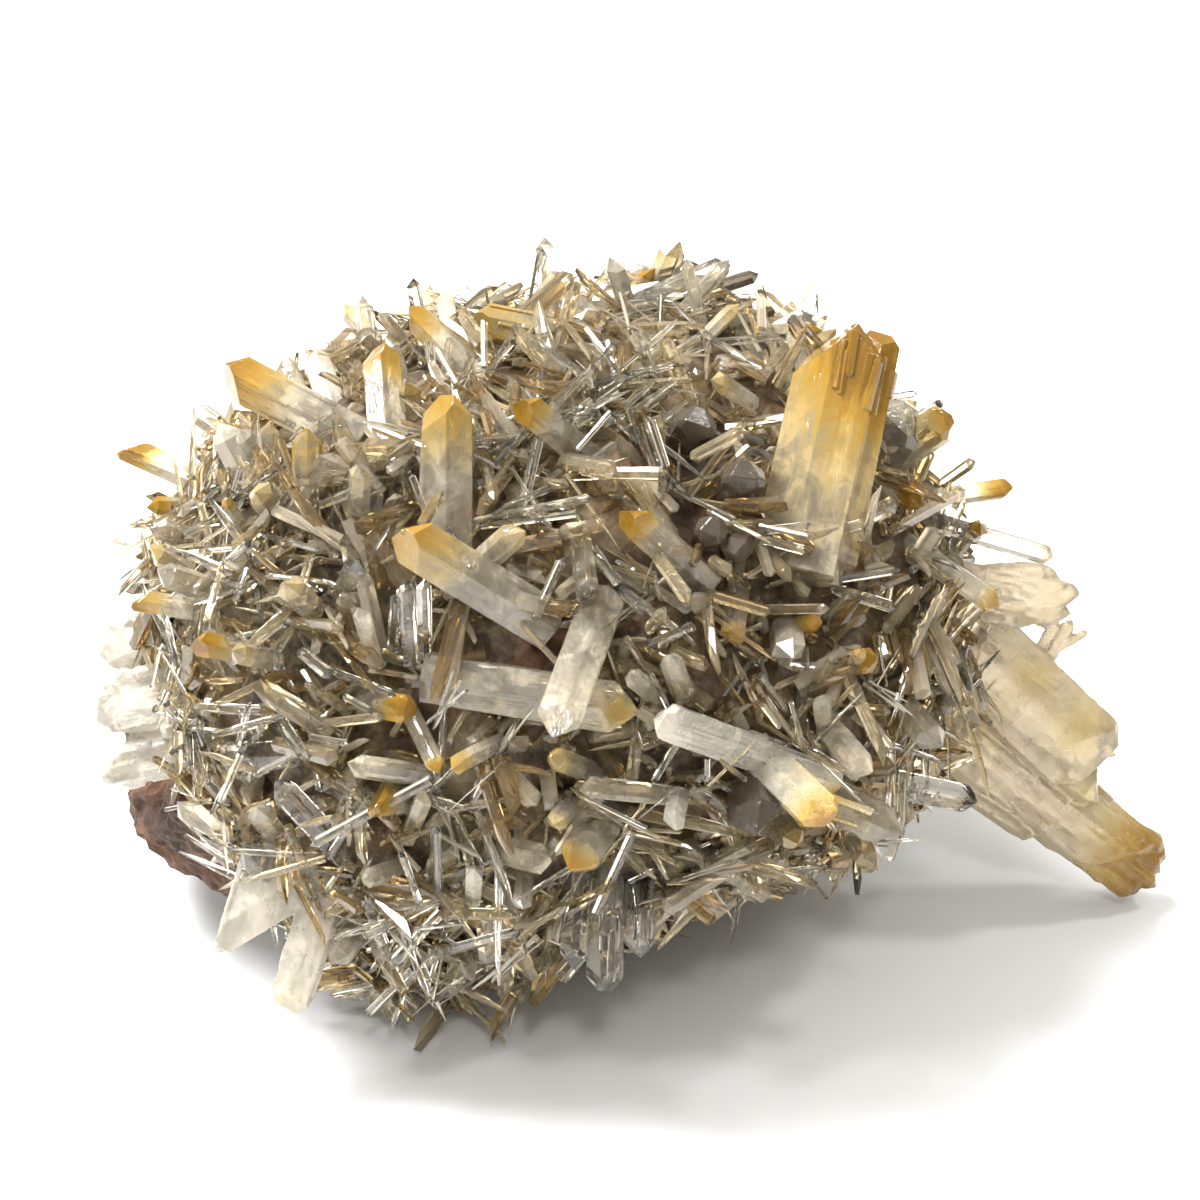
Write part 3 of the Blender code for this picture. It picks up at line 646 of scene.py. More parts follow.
# Conspicuous needles and small prisms of the photograph: root, tip (right and up in
# millimetres), width, lift of the root and of the tip above the ground
singleNeedles = [
    ((-47.3, 9.1), (-39.4, 7.0), 1.0, 4, 7), ((-55.8, 3.4), (-49.9, 1.6), 1.0, 4, 7),
    ((-46.9, 0.6), (-42.1, -1.2), 1.0, 4, 7), ((-56.0, -4.0), (-50.9, -5.9), 1.2, 4, 7),
    ((-46.1, -6.1), (-45.3, -9.9), 1.3, 3, 8), ((-42.1, -7.3), (-37.8, -10.9), 1.6, 4, 7),
    ((-37.2, -10.3), (-28.8, -13.5), 1.3, 4, 7), ((-44.1, -3.0), (-36.2, -3.9), 2.0, 2, 6),
    ((-41.9, 12.5), (-33.0, 15.9), 1.2, 3, 7), ((-53.1, 5.0), (-49.3, 8.3), 1.2, 4, 7),
    ((-55.6, 11.7), (-55.2, 5.8), 0.9, 4, 7), ((-24.9, 13.1), (-26.7, 17.9), 0.8, 5, 8),
    ((-21.9, 9.9), (-17.9, 4.2), 1.6, 4, 9), ((-25.1, 10.7), (-22.3, 15.5), 1.7, 6, 9),
    ((-15.9, 18.3), (-15.0, 13.9), 1.8, 3, 8), ((-11.2, 13.9), (-9.0, 23.2), 0.7, 4, 7),
    ((-10.2, 14.2), (-8.2, 23.0), 0.7, 4, 7), ((-3.2, 21.2), (1.7, 26.8), 0.7, 5, 8),
    ((2.5, 30.0), (9.3, 35.9), 1.7, 4, 7), ((6.1, 26.8), (13.4, 32.3), 1.5, 4, 7),
    ((8.7, 18.8), (6.3, 25.8), 0.8, 4, 8), ((9.6, 19.0), (7.4, 25.9), 0.6, 4, 8),
    ((-12.9, 31.3), (-9.6, 28.8), 0.8, 4, 7), ((-9.0, 31.7), (-5.8, 35.3), 0.5, 4, 8),
    ((-5.2, 25.6), (-1.0, 28.6), 0.7, 4, 7), ((-17.7, 11.1), (-1.0, 14.5), 1.3, 5, 7),
    ((-16.9, 10.3), (-2.8, 12.3), 1.0, 5, 7), ((-10.0, 12.3), (-6.8, 10.3), 0.7, 5, 8),
    ((2.5, 5.4), (5.1, 4.2), 0.8, 5, 8), ((-9.2, -2.6), (-5.2, 6.1), 1.4, 3, 7),
    ((0.2, 10.5), (-6.0, 9.5), 2.0, 2, 6), ((8.1, 6.1), (12.8, -0.4), 1.8, 4, 8),
    ((7.7, 3.8), (8.6, -0.2), 0.7, 4, 8), ((-5.2, 19.6), (3.0, 18.0), 2.6, 2, 5),
    ((1.5, 17.8), (9.7, 17.7), 1.8, 3, 6), ((-5.6, 29.2), (1.2, 29.2), 1.3, 3, 6),
    ((-3.0, 9.0), (-1.6, -0.3), 3.2, 2, 5), ((13.0, 14.3), (19.4, 11.3), 0.8, 5, 8),
    ((19.3, 37.1), (21.7, 32.3), 0.6, 5, 8), ((22.5, 30.6), (25.8, 35.5), 1.8, 3, 7),
    ((13.3, 20.2), (20.5, 24.0), 2.0, 5, 8), ((22.5, 9.7), (29.8, 10.5), 1.1, 5, 9),
    ((22.9, 8.5), (29.4, 6.9), 1.1, 5, 9), ((22.5, 10.5), (29.8, 8.9), 0.8, 6, 10),
    ((23.3, 7.3), (27.0, 2.8), 1.9, 3, 8), ((26.9, 3.6), (29.4, 0.4), 1.9, 3, 7),
    ((33.8, 10.1), (42.3, 13.9), 2.8, 3, 8), ((28.2, 8.5), (37.5, 10.9), 1.2, 5, 9),
    ((33.0, 2.8), (42.3, 4.4), 1.5, 3, 7), ((33.0, 1.6), (41.9, -1.2), 1.5, 3, 7),
    ((41.1, 9.7), (51.2, 15.3), 2.2, 3, 6), ((48.3, 16.5), (53.0, 19.8), 1.8, 2, 4),
    ((41.1, 28.6), (44.9, 29.2), 1.3, 2, 4), ((45.0, 26.0), (48.1, 27.8), 1.3, 2, 4),
    ((15.7, 5.6), (18.9, 3.6), 1.7, 4, 8), ((-23.9, -25.4), (-40.9, -34.7), 1.3, 6, 9),
    ((-45.1, -16.7), (-40.9, -22.6), 1.3, 3, 7), ((-45.9, -17.0), (-42.0, -22.3), 1.0, 3, 7),
    ((-42.1, -21.4), (-48.9, -24.9), 1.0, 4, 7), ((-40.9, -19.3), (-35.4, -20.3), 0.8, 5, 7),
    ((-36.0, -13.7), (-32.0, -15.9), 1.0, 4, 7), ((-23.5, -18.1), (-19.5, -10.9), 0.5, 5, 8),
    ((-23.1, -17.0), (-20.5, -9.8), 0.5, 5, 8), ((-24.4, -17.4), (-18.6, -12.6), 0.5, 5, 8),
    ((-25.3, -43.1), (-28.2, -35.5), 1.1, 5, 8), ((-22.9, -41.5), (-23.3, -31.8), 1.5, 4, 8),
    ((-22.3, -44.2), (-11.8, -44.4), 1.8, 5, 7), ((-22.1, -49.6), (-11.3, -46.8), 1.6, 4, 7),
    ((-28.0, -50.0), (-32.2, -56.3), 2.0, 2, 4), ((-22.3, -43.9), (-30.0, -52.0), 1.6, 4, 6),
    ((-33.0, -42.0), (-29.6, -51.4), 1.6, 3, 5), ((-39.6, -47.6), (-34.4, -43.9), 0.6, 4, 7),
    ((-36.0, -42.7), (-32.2, -36.3), 0.6, 4, 8), ((-46.9, -41.7), (-40.0, -42.3), 0.6, 4, 6),
    ((-61.4, -29.6), (-54.6, -28.2), 0.7, 3, 6), ((-27.8, -35.9), (-25.4, -43.2), 1.0, 5, 7),
    ((10.9, -36.3), (6.1, -48.8), 3.0, 2, 4), ((12.1, -34.7), (24.2, -42.0), 3.2, 2, 3),
    ((6.9, -4.1), (9.3, -1.3), 1.8, 3, 7), ((12.9, -3.7), (6.9, -6.5), 1.5, 3, 7),
    ((12.5, -13.0), (9.5, -8.3), 2.8, 2, 6), ((26.2, -15.4), (22.4, -10.3), 0.9, 4, 8),
    ((-3.2, -26.3), (8.1, -26.7), 1.8, 3, 6), ((-2.0, -27.9), (6.9, -32.3), 0.6, 5, 7),
]


def addNeedle(bm, root, tip, width, slot, rng):
    along = tip - root
    length = along.length
    along.normalize()
    side = Matrix.Rotation(rng.uniform(0, math.pi), 3, along) @ along.orthogonal().normalized()
    across = along.cross(side)
    tipRise = min(0.6 * width, 0.3 * length)
    rings = []
    for height, size in ((0.0, 0.9), (length - tipRise, 1.0)):
        ring = []
        for corner in range(6):
            turn = math.radians(60 * corner)
            offset = side * math.cos(turn) + across * (0.8 * math.sin(turn))
            ring.append(bm.verts.new(root + along * height + offset * (size * width / 2)))
        rings.append(ring)
    lean = side * rng.uniform(-0.2, 0.2) * width
    top = bm.verts.new(root + along * length + lean)
    bottom = bm.verts.new(root - along * 0.3 * width)
    for corner in range(6):
        after = (corner + 1) % 6
        for corners in (
            (rings[0][corner], rings[0][after], rings[1][after], rings[1][corner]),
            (rings[1][corner], rings[1][after], top),
            (rings[0][after], rings[0][corner], bottom),
        ):
            bm.faces.new(corners).material_index = slot


def buildSingleNeedles():
    rng = random.Random(5)
    bm = bmesh.new()
    for root, tip, width, low, high in singleNeedles:
        slot = 0 if width < 1.7 else 1
        ends = [onGround(*root, low - 0.5), onGround(*tip, high + 0.5)]
        for end in ends:
            end.z = max(end.z, (0.7 * width + 0.4) * mm)
        addNeedle(bm, *ends, width * 1.1 * mm, slot, rng)
    mesh = bpy.data.meshes.new("singleNeedles")
    bm.to_mesh(mesh)
    bm.free()
    return mesh


# Small prisms of the photograph: root and tip (right and up in millimetres), width, how much
# nearer the tip is than the root, finish, strength of the stain
smallPrisms = [
    ((-57, 13), (-64, 13.5), 2.6, 0, "mango", 0.95), ((-28, 31), (-30, 37), 2.6, -3, "milky", 0.1),
    ((-42, 28), (-45, 34.5), 3.0, -3, "milky", 0.15), ((-46.5, 18), (-46.9, 25.3), 2.8, 0, "milky", 0.3),
    ((-26.5, 26), (-27, 30.8), 2.8, 2, "mango", 0.6), ((51, 9), (54.2, 10.5), 2.8, 5, "mango", 0.7),
    ((-14, -20), (-21, -23.6), 2.8, 7, "mango", 0.6), ((13, 43), (22.5, 46), 2.4, -4, "smoky", 0.4),
    ((-50, 18), (-53.8, 25.2), 4.6, -1, "pale", 0.05), ((-48, 20), (-51, 24), 2.6, 1, "pale", 0.1),
    ((-41.5, 15), (-41.3, 24), 3.6, 5, "mango", 0.45),
    ((-46, 12.5), (-48.4, 15.6), 3.8, 7, "mango", 0.35),
    ((-50.3, 10.5), (-52.9, 14.1), 1.6, 6, "mango", 0.9),
    ((-57, 8.5), (-63.3, 10.5), 3.0, 1, "milky", 0.1), ((-58, 4), (-63.6, 7.5), 3.6, -2, "mango", 0.5),
    ((-55, 1.5), (-62.6, 4), 3.6, 3, "milky", 0.05), ((-26.5, 20.5), (-29.6, 18), 1.8, 7, "milky", 0.0),
    ((-34, 12.5), (-33.8, 19), 3.0, 6, "milky", 0.2),
    ((-40.5, -1.5), (-44.5, 2.4), 4.0, 6, "mango", 0.3), ((-36.5, 0.5), (-34, 5.5), 3.0, 6, "clear", 0),
    ((-26.5, -9), (-27.5, 3), 2.6, 3, "clear", 0), ((-24.6, -8), (-24.9, 3), 2.0, 3, "clear", 0),
    ((-29.3, -7), (-28.6, 1), 2.0, 3, "clear", 0), ((-31.5, -9.5), (-34, -1), 2.2, 4, "milky", 0),
    ((-17.7, 4.5), (-11, 10.2), 3.6, 6, "mango", 0.4), ((-2.6, 8.5), (-1.8, 0), 3.2, 5, "clear", 0.1),
    ((19.5, 9), (19.2, 6.4), 4.2, 5, "smoky", 0.3), ((1, 43), (14, 47.3), 2.6, -3, "clear", 0),
    ((3, 41), (18.4, 47.6), 3.0, -3, "clear", 0), ((5, 44.5), (12, 46.4), 1.6, -2, "milky", 0),
    ((1.5, 44.3), (7, 46.9), 2.2, -4, "milky", 0), ((9, 42), (17.5, 45), 1.8, -1, "clear", 0),
    ((21.7, 27.8), (15.7, 31.4), 3.0, 5, "mango", 0.35),
    ((-45.5, -8.5), (-52, -7.3), 3.0, 6, "mango", 0.35),
    ((-50, -37), (-59.5, -28.3), 4.0, 4, "milky", 0.05),
    ((-24.3, -24.8), (-35.8, -23.2), 3.2, 3, "milky", 0.1),
    ((-27.3, -33.9), (-24.5, -27), 2.6, 5, "milky", 0.1),
    ((-28, -37.5), (-33.6, -39.6), 2.6, 6, "milky", 0), ((-46, -33), (-48.5, -29.3), 3.4, 6, "milky", 0),
    ((-45, -38.5), (-50.5, -35.5), 4.2, 5, "clear", 0), ((-34, -46), (-38, -51.5), 4.0, 3, "milky", 0),
    ((-18, -42.5), (-17.7, -38), 2.6, 7, "pale", 0), ((11.7, -13.6), (9.8, -7.8), 3.0, 6, "milky", 0),
    ((8.5, -14), (4, -10.4), 2.6, 5, "milky", 0.1), ((12, -27.8), (-3, -26.2), 2.8, 4, "milky", 0.1),
    ((-4, -28.5), (-6.4, -31.8), 2.8, 7, "mango", 0.35),
    ((-13.7, -35.3), (-6.8, -36.9), 4.0, 5, "milky", 0.1),
    ((-10.3, -38), (-11.1, -43.6), 2.6, 5, "milky", 0), ((21, -26.5), (22.2, -33), 7.0, 5, "smoky", 0.2),
    ((25, -31), (27.9, -34.4), 3.4, 5, "mango", 0.5), ((11.2, -27.5), (10.2, -32), 3.4, 5, "pale", 0),
    ((26, -3.6), (26.8, -8.4), 4.6, 6, "milky", 0.05), ((35, -10.4), (36.9, -7.2), 1.8, 6, "mango", 0.7),
    ((31.9, -19), (31.2, -13.4), 2.6, 6, "milky", 0), ((32, -18), (38, -25), 4.2, 6, "milky", 0.05),
    ((43.5, -15.5), (47.8, -21), 4.6, 3, "milky", 0.05),
    ((33, -27.5), (42.2, -33.6), 6.4, 3, "milky", 0.1),
    ((36, -32.5), (38.6, -38.2), 4.0, 3, "mango", 0.3), ((24, 37.5), (29.8, 40.6), 2.6, -4, "clear", 0),
]


# Prisms of the same kinds at the back, which the photograph doesn't show
backPrisms = {
    "count": 80,
    "width": (1.8, 4.4),
    "length": (6.5, 12.0),
    "kinds": [("milky", 0.0), ("milky", 0.1), ("clear", 0.0), ("mango", 0.9), ("mango", 0.4),
              ("pale", 0.0)],
}


def crystalLayers(bm):
    floats, vectors = bm.verts.layers.float, bm.verts.layers.float_vector
    if "stain" not in floats:
        floats.new("stain")
        vectors.new("growth")
    return floats["stain"], vectors["growth"]


def addPrism(bm, root, tip, side, width, thickness, lean, stain=0.0):
    # A closed six-sided prism with a point at its tip, stained from the tip
    stainLayer, growth = crystalLayers(bm)
    along = (tip - root).normalized()
    across = along.cross(side).normalized()
    side = across.cross(along)
    length = (tip - root).length
    shoulder = length - 0.55 * width
    rings = []
    for height, size, stained in ((0.0, 0.9, 0.0), (max(0.2 * length, length - 1.9 * width), 1.0, 0.0),
                                  (shoulder, 1.0, 0.85)):
        ring = []
        for corner in range(6):
            turn = math.radians(60 * corner)
            offset = side * (math.cos(turn) * width / 2) + across * (math.sin(turn) * thickness / 2)
            ring.append(bm.verts.new(root + along * height + offset * size))
            ring[-1][stainLayer] = stain * stained
        rings.append(ring)
    top = bm.verts.new(tip + side * (lean * width))
    top[stainLayer] = stain
    bottom = bm.verts.new(root - along * 0.3 * width)
    for vert in [corner for ring in rings for corner in ring] + [top, bottom]:
        vert[growth] = (vert.co.dot(side), vert.co.dot(across), vert.co.dot(along))
    for corner in range(6):
        after = (corner + 1) % 6
        for low, high in zip(rings, rings[1:]):
            bm.faces.new((low[corner], low[after], high[after], high[corner]))
        bm.faces.new((rings[-1][corner], rings[-1][after], top))
        bm.faces.new((rings[0][after], rings[0][corner], bottom))


def buildSmallPrisms():
    rng = random.Random(17)
    bodies = {}
    for root, tip, width, nearer, finish, stain in smallPrisms:
        depth = groundDepth(*root)
        low = sightPoint(root[0] * mm, root[1] * mm, depth + 1 * mm)
        high = sightPoint(tip[0] * mm, tip[1] * mm, depth + (nearer + 4) * mm)
        high.z = max(high.z, (0.6 * width + 0.3) * mm)
        side = Matrix.Rotation(rng.uniform(-0.5, 0.5), 3, high - low) @ towardsViewer.cross(high - low)
        bm = bodies.setdefault(finish, bmesh.new())
        addPrism(bm, low, high, side.normalized(), width * mm, width * rng.uniform(0.65, 0.9) * mm,
                 rng.uniform(-0.2, 0.2), stain)
    solids = bmesh.new()        # the larger crystals, which the prisms at the back keep clear of
    for name, node in nodes.items():
        if name != "needle_druse":
            solids.from_mesh(node.data)
    nearby = BVHTree.FromBMesh(solids)
    for _ in range(backPrisms["count"]):
        out = towards(rng.uniform(0.1, math.pi - 0.1), rng.uniform(-0.35, 1.15))
        width, length = (rng.uniform(*backPrisms[part]) * mm for part in ("width", "length"))
        finish, stain = rng.choice(backPrisms["kinds"])
        low = mound["centre"] + out * groundRadius(out)
        aslant = Vector([rng.uniform(-1, 1) for _ in range(3)])
        high = low + (out * rng.uniform(0.35, 0.9) + aslant * 0.7).normalized() * length
        clear = min(nearby.find_nearest(low.lerp(high, share))[3] for share in (0, 0.5, 1))
        if clear > 0.8 * width and high.z > 2 * width:
            addPrism(bodies[finish], low, high, out.cross(high - low).normalized(), width,
                     width * rng.uniform(0.65, 0.9), rng.uniform(-0.2, 0.2), stain)
    solids.free()
    meshes = {}
    for finish, bm in bodies.items():
        meshes[finish] = bpy.data.meshes.new("small" + finish.capitalize() + "Prisms")
        bm.to_mesh(meshes[finish])
        bm.free()
    return meshes


# The larger crystals: each is its CAD solid with rounded edges, smaller prisms grown along it and a stain
crystals = {
    "edge": 0.00022,
    "grain": {"milky": 0.00030, "pale": 0.00022},       # size of the facets of grainy pieces
    "ripple": {"milky": 0.00016, "pale": 0.00014},
    # length of the stain from the tip in millimetres, strength
    "default": {"mango": (5.5, 1.0), "milky": (5.0, 0.25), "clear": (2.0, 0.10), "smoky": (3.0, 0.5)},
    "stains": {
        "mango_prism_top_left": (11.0, 1.0), "mango_prism_top_upright": (7.0, 1.0),
        "mango_prism_centre_upright": (10.0, 0.66), "mango_prism_centre_leaning": (11.0, 0.72),
        "mango_point_left_high": (7.0, 1.0), "mango_prism_upper_middle": (5.0, 1.0),
        "mango_prism_beside_hollow": (5.0, 1.0), "mango_prism_front_bottom": (4.0, 0.85),
        "mango_prism_pointing_down": (3.5, 0.75), "mango_prism_behind_top": (14.0, 0.55),
        "olive_prism_front_low": (6.0, 0.5), "pale_prism_top_middle": (6.0, 0.5),
        "clear_prism_right_yellow": (3.0, 0.8), "clear_prism_right_long": (3.5, 1.0),
        "mango_prism_top_brown": (7.0, 0.9), "milky_mass_left": (6.0, 0.05),
        "mango_needle_front_left": (2.6, 0.9), "mango_prism_top_edge": (7.0, 1.0),
        "mango_prism_back_1": (8.0, 1.0), "mango_prism_back_2": (8.0, 0.9),
        "mango_prism_back_3": (8.0, 1.0), "clear_prism_front_middle": (2.0, 0.05),
    },
    # stains about places of the photograph: right, up, radius, strength
    "stainSpots": {
        "mango_prism_tall_right": [(37.0, 34.5, 17, 1.3), (39.5, 28.0, 12, 1.0), (34.5, 25.0, 27, 0.48)],
        "milky_tail": [(79, -37, 14, 1.1), (76.5, -41, 13, 1.1), (61, -11, 5, 0.5), (68, -18, 8, 0.42),
                       (54, -16, 6, 0.40), (46, -21, 7, 0.6), (69, -27, 7, 0.35)],
        "white_prism_lower_right": [(32, -31.5, 8.0, 1.25), (28.5, -25, 4, 0.45)],
        "milky_prism_lying": [(2.6, -15.8, 4.6, 0.62)],
        "milky_flake_right": [(62, -3, 6, 0.15)],
        "mango_prism_right_end_on": [(49, 25.5, 6.5, 0.85)],
    },
    # pieces whose finish differs from that of their slot
    "finishes": {
        "white_prism_lower_right": "pale", "milky_mass_left": "pale", "milky_slabs_bottom_left": "pale",
        "pale_prism_top_edge": "pale", "pale_prism_top_left_broad": "pale", "milky_prism_lying": "mango",
        "clear_prism_front_middle": "mango",
    },
    # small prisms along a crystal: how many, shortest and longest, thinnest and thickest in
    # millimetres, how far behind the tip they may end
    "laths": {
        "milky_tail": (46, 8, 26, 1.2, 3.6, 34),
        "milky_flake_right": (16, 4, 9, 1.0, 2.6, 12),
        "milky_mass_left": (60, 2.5, 7, 1.0, 3.2, 12),
        "milky_slabs_bottom_left": (30, 3, 8, 0.9, 2.6, 14),
        "milky_prism_lying": (10, 5, 12, 0.6, 1.5, 22),
        "white_prism_lower_right": (40, 5, 15, 0.5, 1.4, 22),
        "bottom_prisms": (10, 5, 11, 0.8, 1.8, 12),
        "mango_prism_tall_right": (26, 3, 9, 0.9, 2.2, 7),
        "mango_prism_right_end_on": (10, 2, 5, 0.8, 1.6, 5),
        "mango_prism_top_left": (8, 4, 9, 0.8, 1.8, 12),
        "mango_prism_behind_top": (14, 3, 9, 0.8, 2.2, 14),
        "mango_prism_centre_leaning": (8, 4, 10, 0.6, 1.6, 14),
        "mango_prism_centre_upright": (8, 3, 8, 0.6, 1.6, 12),
    },
    # blades of the photograph: root and tip as right, up and depth, width, thickness
    "blades": {
        "milky_tail": [
            ((50, -6, -2), (72.4, -22.6, -9), 5.0, 4.0), ((46, -10, -3), (71.0, -28.0, -12), 6.5, 5.0),
            ((50, -18, -7), (79.8, -35.2, -20), 3.4, 3.0), ((54, -21, -8), (79.4, -38.2, -20), 3.6, 3.4),
            ((54, -24, -8), (78.6, -40.4, -20), 3.0, 3.0), ((44, -22, -6), (62.0, -33.5, -12), 3.6, 3.0),
            ((63, -9, -4), (66.6, -2.6, -3), 2.2, 1.6), ((63, -8, -4), (69.0, -4.3, -3), 1.3, 1.2),
            ((62, -7, -4), (64.6, -2.4, -2), 1.8, 1.3),
        ],
        "milky_flake_right": [
            ((53, 2, 11), (66.5, -2.8, 12), 5.0, 2.2), ((53, 2, 11), (67.2, 0.8, 12), 5.0, 2.4),
            ((53, 3, 11), (64.8, 3.4, 12), 4.4, 2.0), ((52, 0, 11), (61.0, -3.2, 12), 4.6, 2.2),
        ],
    },
}


def crystalAxis(mesh):
    # The way that most of the long edges run
    edges = []
    for edge in mesh.edges:
        run = mesh.vertices[edge.vertices[1]].co - mesh.vertices[edge.vertices[0]].co
        edges.append(run)
    edges.sort(key=lambda run: run.length, reverse=True)
    lead = edges[0].normalized()
    total = Vector()
    for run in edges[:12]:
        if abs(run.normalized().dot(lead)) > 0.985:
            total += run if run.dot(lead) > 0 else -run
    return total.normalized()


def growLaths(bm, axis, settings, rng):
    count, shortest, longest, thinnest, thickest, reach = settings
    tree = BVHTree.FromBMesh(bm)
    tip = max(vert.co.dot(axis) for vert in bm.verts)
    points = [face.calc_center_median() for face in bm.faces]
    middle = sum(points, Vector()) / len(points)
    middle -= axis * middle.dot(axis)
    side = axis.orthogonal().normalized()
    across = axis.cross(side)
    grown = 0
    for _ in range(count * 8):
        if grown == count:
            break
        turn = rng.uniform(0, 2 * math.pi)
        out = side * math.cos(turn) + across * math.sin(turn)
        aslant = out.cross(axis) * rng.uniform(-0.007, 0.007)
        start = middle + axis * (tip - rng.uniform(0, 1) ** 1.3 * reach * mm) + aslant + out * 0.03
        spot, normal, _, _ = tree.ray_cast(start, -out)
        if spot is None:
            continue
        width = rng.uniform(thinnest, thickest) * mm
        length = rng.uniform(shortest, longest) * mm
        wander = Vector((rng.gauss(0, 1), rng.gauss(0, 1), rng.gauss(0, 1))) * 0.02
        along = (axis + wander).normalized()
        end = spot - normal * (0.22 * width) + along * rng.uniform(0, 0.6) * width
        addPrism(bm, end - along * length, end, normal, width * rng.uniform(0.6, 0.9), width,
                 rng.uniform(-0.2, 0.2))
        grown += 1


def remeshed(bm, size):
    # The same body with its prisms joined and its surface in even facets
    mesh = bpy.data.meshes.new("joined")
    bm.to_mesh(mesh)
    bm.free()
    holder = bpy.data.objects.new("joined", mesh)
    bpy.context.scene.collection.objects.link(holder)
    remesher = holder.modifiers.new("facets", "REMESH")
    remesher.mode = "VOXEL"
    remesher.voxel_size = size
    result = bpy.data.meshes.new_from_object(holder.evaluated_get(bpy.context.evaluated_depsgraph_get()))
    bpy.data.objects.remove(holder)
    joined = bmesh.new()
    joined.from_mesh(result)
    bmesh.ops.triangulate(joined, faces=joined.faces)
    return joined


def viewPlace(point):
    # Where the photograph shows a point: right and up in millimetres
    offset = point - camera["target"]
    grow = camera["distance"] / (camera["distance"] - offset.dot(towardsViewer))
    return Vector((offset.x, offset.dot(viewUpwards))) * (grow / mm)


def dressCrystal(node, slot):
    rng = random.Random(len(node) * 31 + ord(node[-1]) + ord(node[-3]))
    finish = crystals["finishes"].get(node, slot)
    bm = bmesh.new()
    bm.from_mesh(nodes[node].data)
    bmesh.ops.remove_doubles(bm, verts=bm.verts, dist=1e-6)
    bmesh.ops.dissolve_limit(bm, angle_limit=math.radians(2), verts=bm.verts, edges=bm.edges)
    mesh = bpy.data.meshes.new(node)
    bm.to_mesh(mesh)
    axis = crystalAxis(mesh)
    middle = sum((vert.co for vert in bm.verts), Vector()) / len(bm.verts)
    if axis.dot(middle - mound["centre"]) < 0:
        axis = -axis
    if node in crystals["laths"]:
        bmesh.ops.triangulate(bm, faces=bm.faces)
        growLaths(bm, axis, crystals["laths"][node], rng)
    for root, end, width, thickness in crystals["blades"].get(node, []):
        low, high = (sightPoint(right * mm, up * mm, depth * mm) for right, up, depth in (root, end))
        flat = towardsViewer.cross(high - low).normalized()
        addPrism(bm, low, high, flat, width * mm, thickness * mm, rng.uniform(-0.2, 0.2))
    if finish in crystals["grain"] and node != "white_prism_lower_right":
        bm = remeshed(bm, crystals["grain"][finish])
    else:
        bmesh.ops.dissolve_limit(bm, angle_limit=math.radians(2), verts=bm.verts, edges=bm.edges)
        sharp = [edge for edge in bm.edges if edge.calc_face_angle(0) > math.radians(20)]
        bmesh.ops.bevel(bm, geom=sharp, offset=crystals["edge"], segments=1, affect="EDGES",
                        clamp_overlap=True, profile=0.5)
        bmesh.ops.triangulate(bm, faces=bm.faces)
        for _ in range(4):
            edges = [edge for edge in bm.edges if edge.calc_length() > 0.0014]
            if not edges or len(bm.faces) > 9000:
                break
            bmesh.ops.subdivide_edges(bm, edges=edges, cuts=1, use_grid_fill=False)
            bmesh.ops.triangulate(bm, faces=bm.faces)
    stainLayer, growth = crystalLayers(bm)
    side = axis.orthogonal().normalized()
    across = axis.cross(side)
    tip = max(vert.co.dot(axis) for vert in bm.verts)
    length, strength = crystals["stains"].get(node, crystals["default"][slot])
    spots = crystals["stainSpots"].get(node)
    amount = crystals["ripple"].get(finish, 0.0)
    bm.normal_update()
    for vert in bm.verts:
        if spots:
            shown = viewPlace(vert.co)
            stain = 0.0
            for right, up, radius, much in spots:
                near = (shown - Vector((right, up))).length / radius
                stain = max(stain, much * max(0.0, 1.0 - near))
        else:
            down = (tip - vert.co.dot(axis)) / (length * mm)
            stain = strength * max(0.0, 1.0 - down) ** 0.7
        vert[stainLayer] = stain
        local = Vector((vert.co.dot(side), vert.co.dot(across), vert.co.dot(axis)))
        vert[growth] = local
        if amount:
            ripple = noise.noise(Vector((local.x * 420, local.y * 420, local.z * 160)))
            vert.co += vert.normal * (ripple + 0.6 * noise.noise(local * 700)) * amount
        vert.co.z = max(vert.co.z, 0.0001)
    bm.to_mesh(mesh)
    bm.free()
    mesh.shade_flat()
    words = node.split("_")
    name = words[0] + "".join(word.capitalize() for word in words[1:])
    addPiece(name, mesh, slot, [node], [finishes[finish]])


def buildCrystals():
    slots = {part["node"]: part["material_slot"] for part in frame["record"]["subparts"]}
    for node in sorted(nodes):
        if slots[node] in crystals["default"]:
            dressCrystal(node, slots[node])


def buildRock():
    bm = bmesh.new()
    bm.from_mesh(nodes["matrix_rock"].data)
    bmesh.ops.remove_doubles(bm, verts=bm.verts, dist=1e-6)
    bmesh.ops.triangulate(bm, faces=bm.faces)
    for _ in range(5):
        edges = [edge for edge in bm.edges if edge.calc_length() > 0.0016]
        if not edges:
            break
        bmesh.ops.subdivide_edges(bm, edges=edges, cuts=1)
        bmesh.ops.triangulate(bm, faces=bm.faces)
    bm.normal_update()
    for vert in bm.verts:
        if vert.co.z > 0.0004:
            rough = noise.fractal(vert.co * 240, 0.9, 2.0, 5) * 0.0011
            chips = abs(noise.noise(vert.co * 420)) * 0.0012
            vert.co += vert.normal * (rough - chips)
            vert.co.z = max(vert.co.z, 0.0003)
    mesh = bpy.data.meshes.new("hostRock")
    bm.to_mesh(mesh)
    bm.free()
    mesh.shade_flat()
    addPiece("hostRock", mesh, "rock", ["matrix_rock"], [rockMaterial()])


def joinedCrystals(others):
    # One mesh of the rigid crystals and the rock, which the needles stop at
    bm = bmesh.new()
    for mesh in [node.data for name, node in nodes.items() if name != "needle_druse"] + others:
        bm.from_mesh(mesh)
    mesh = bpy.data.meshes.new("obstacles")
    bm.to_mesh(mesh)
    bm.free()
    return bpy.data.objects.new("obstacles", mesh)


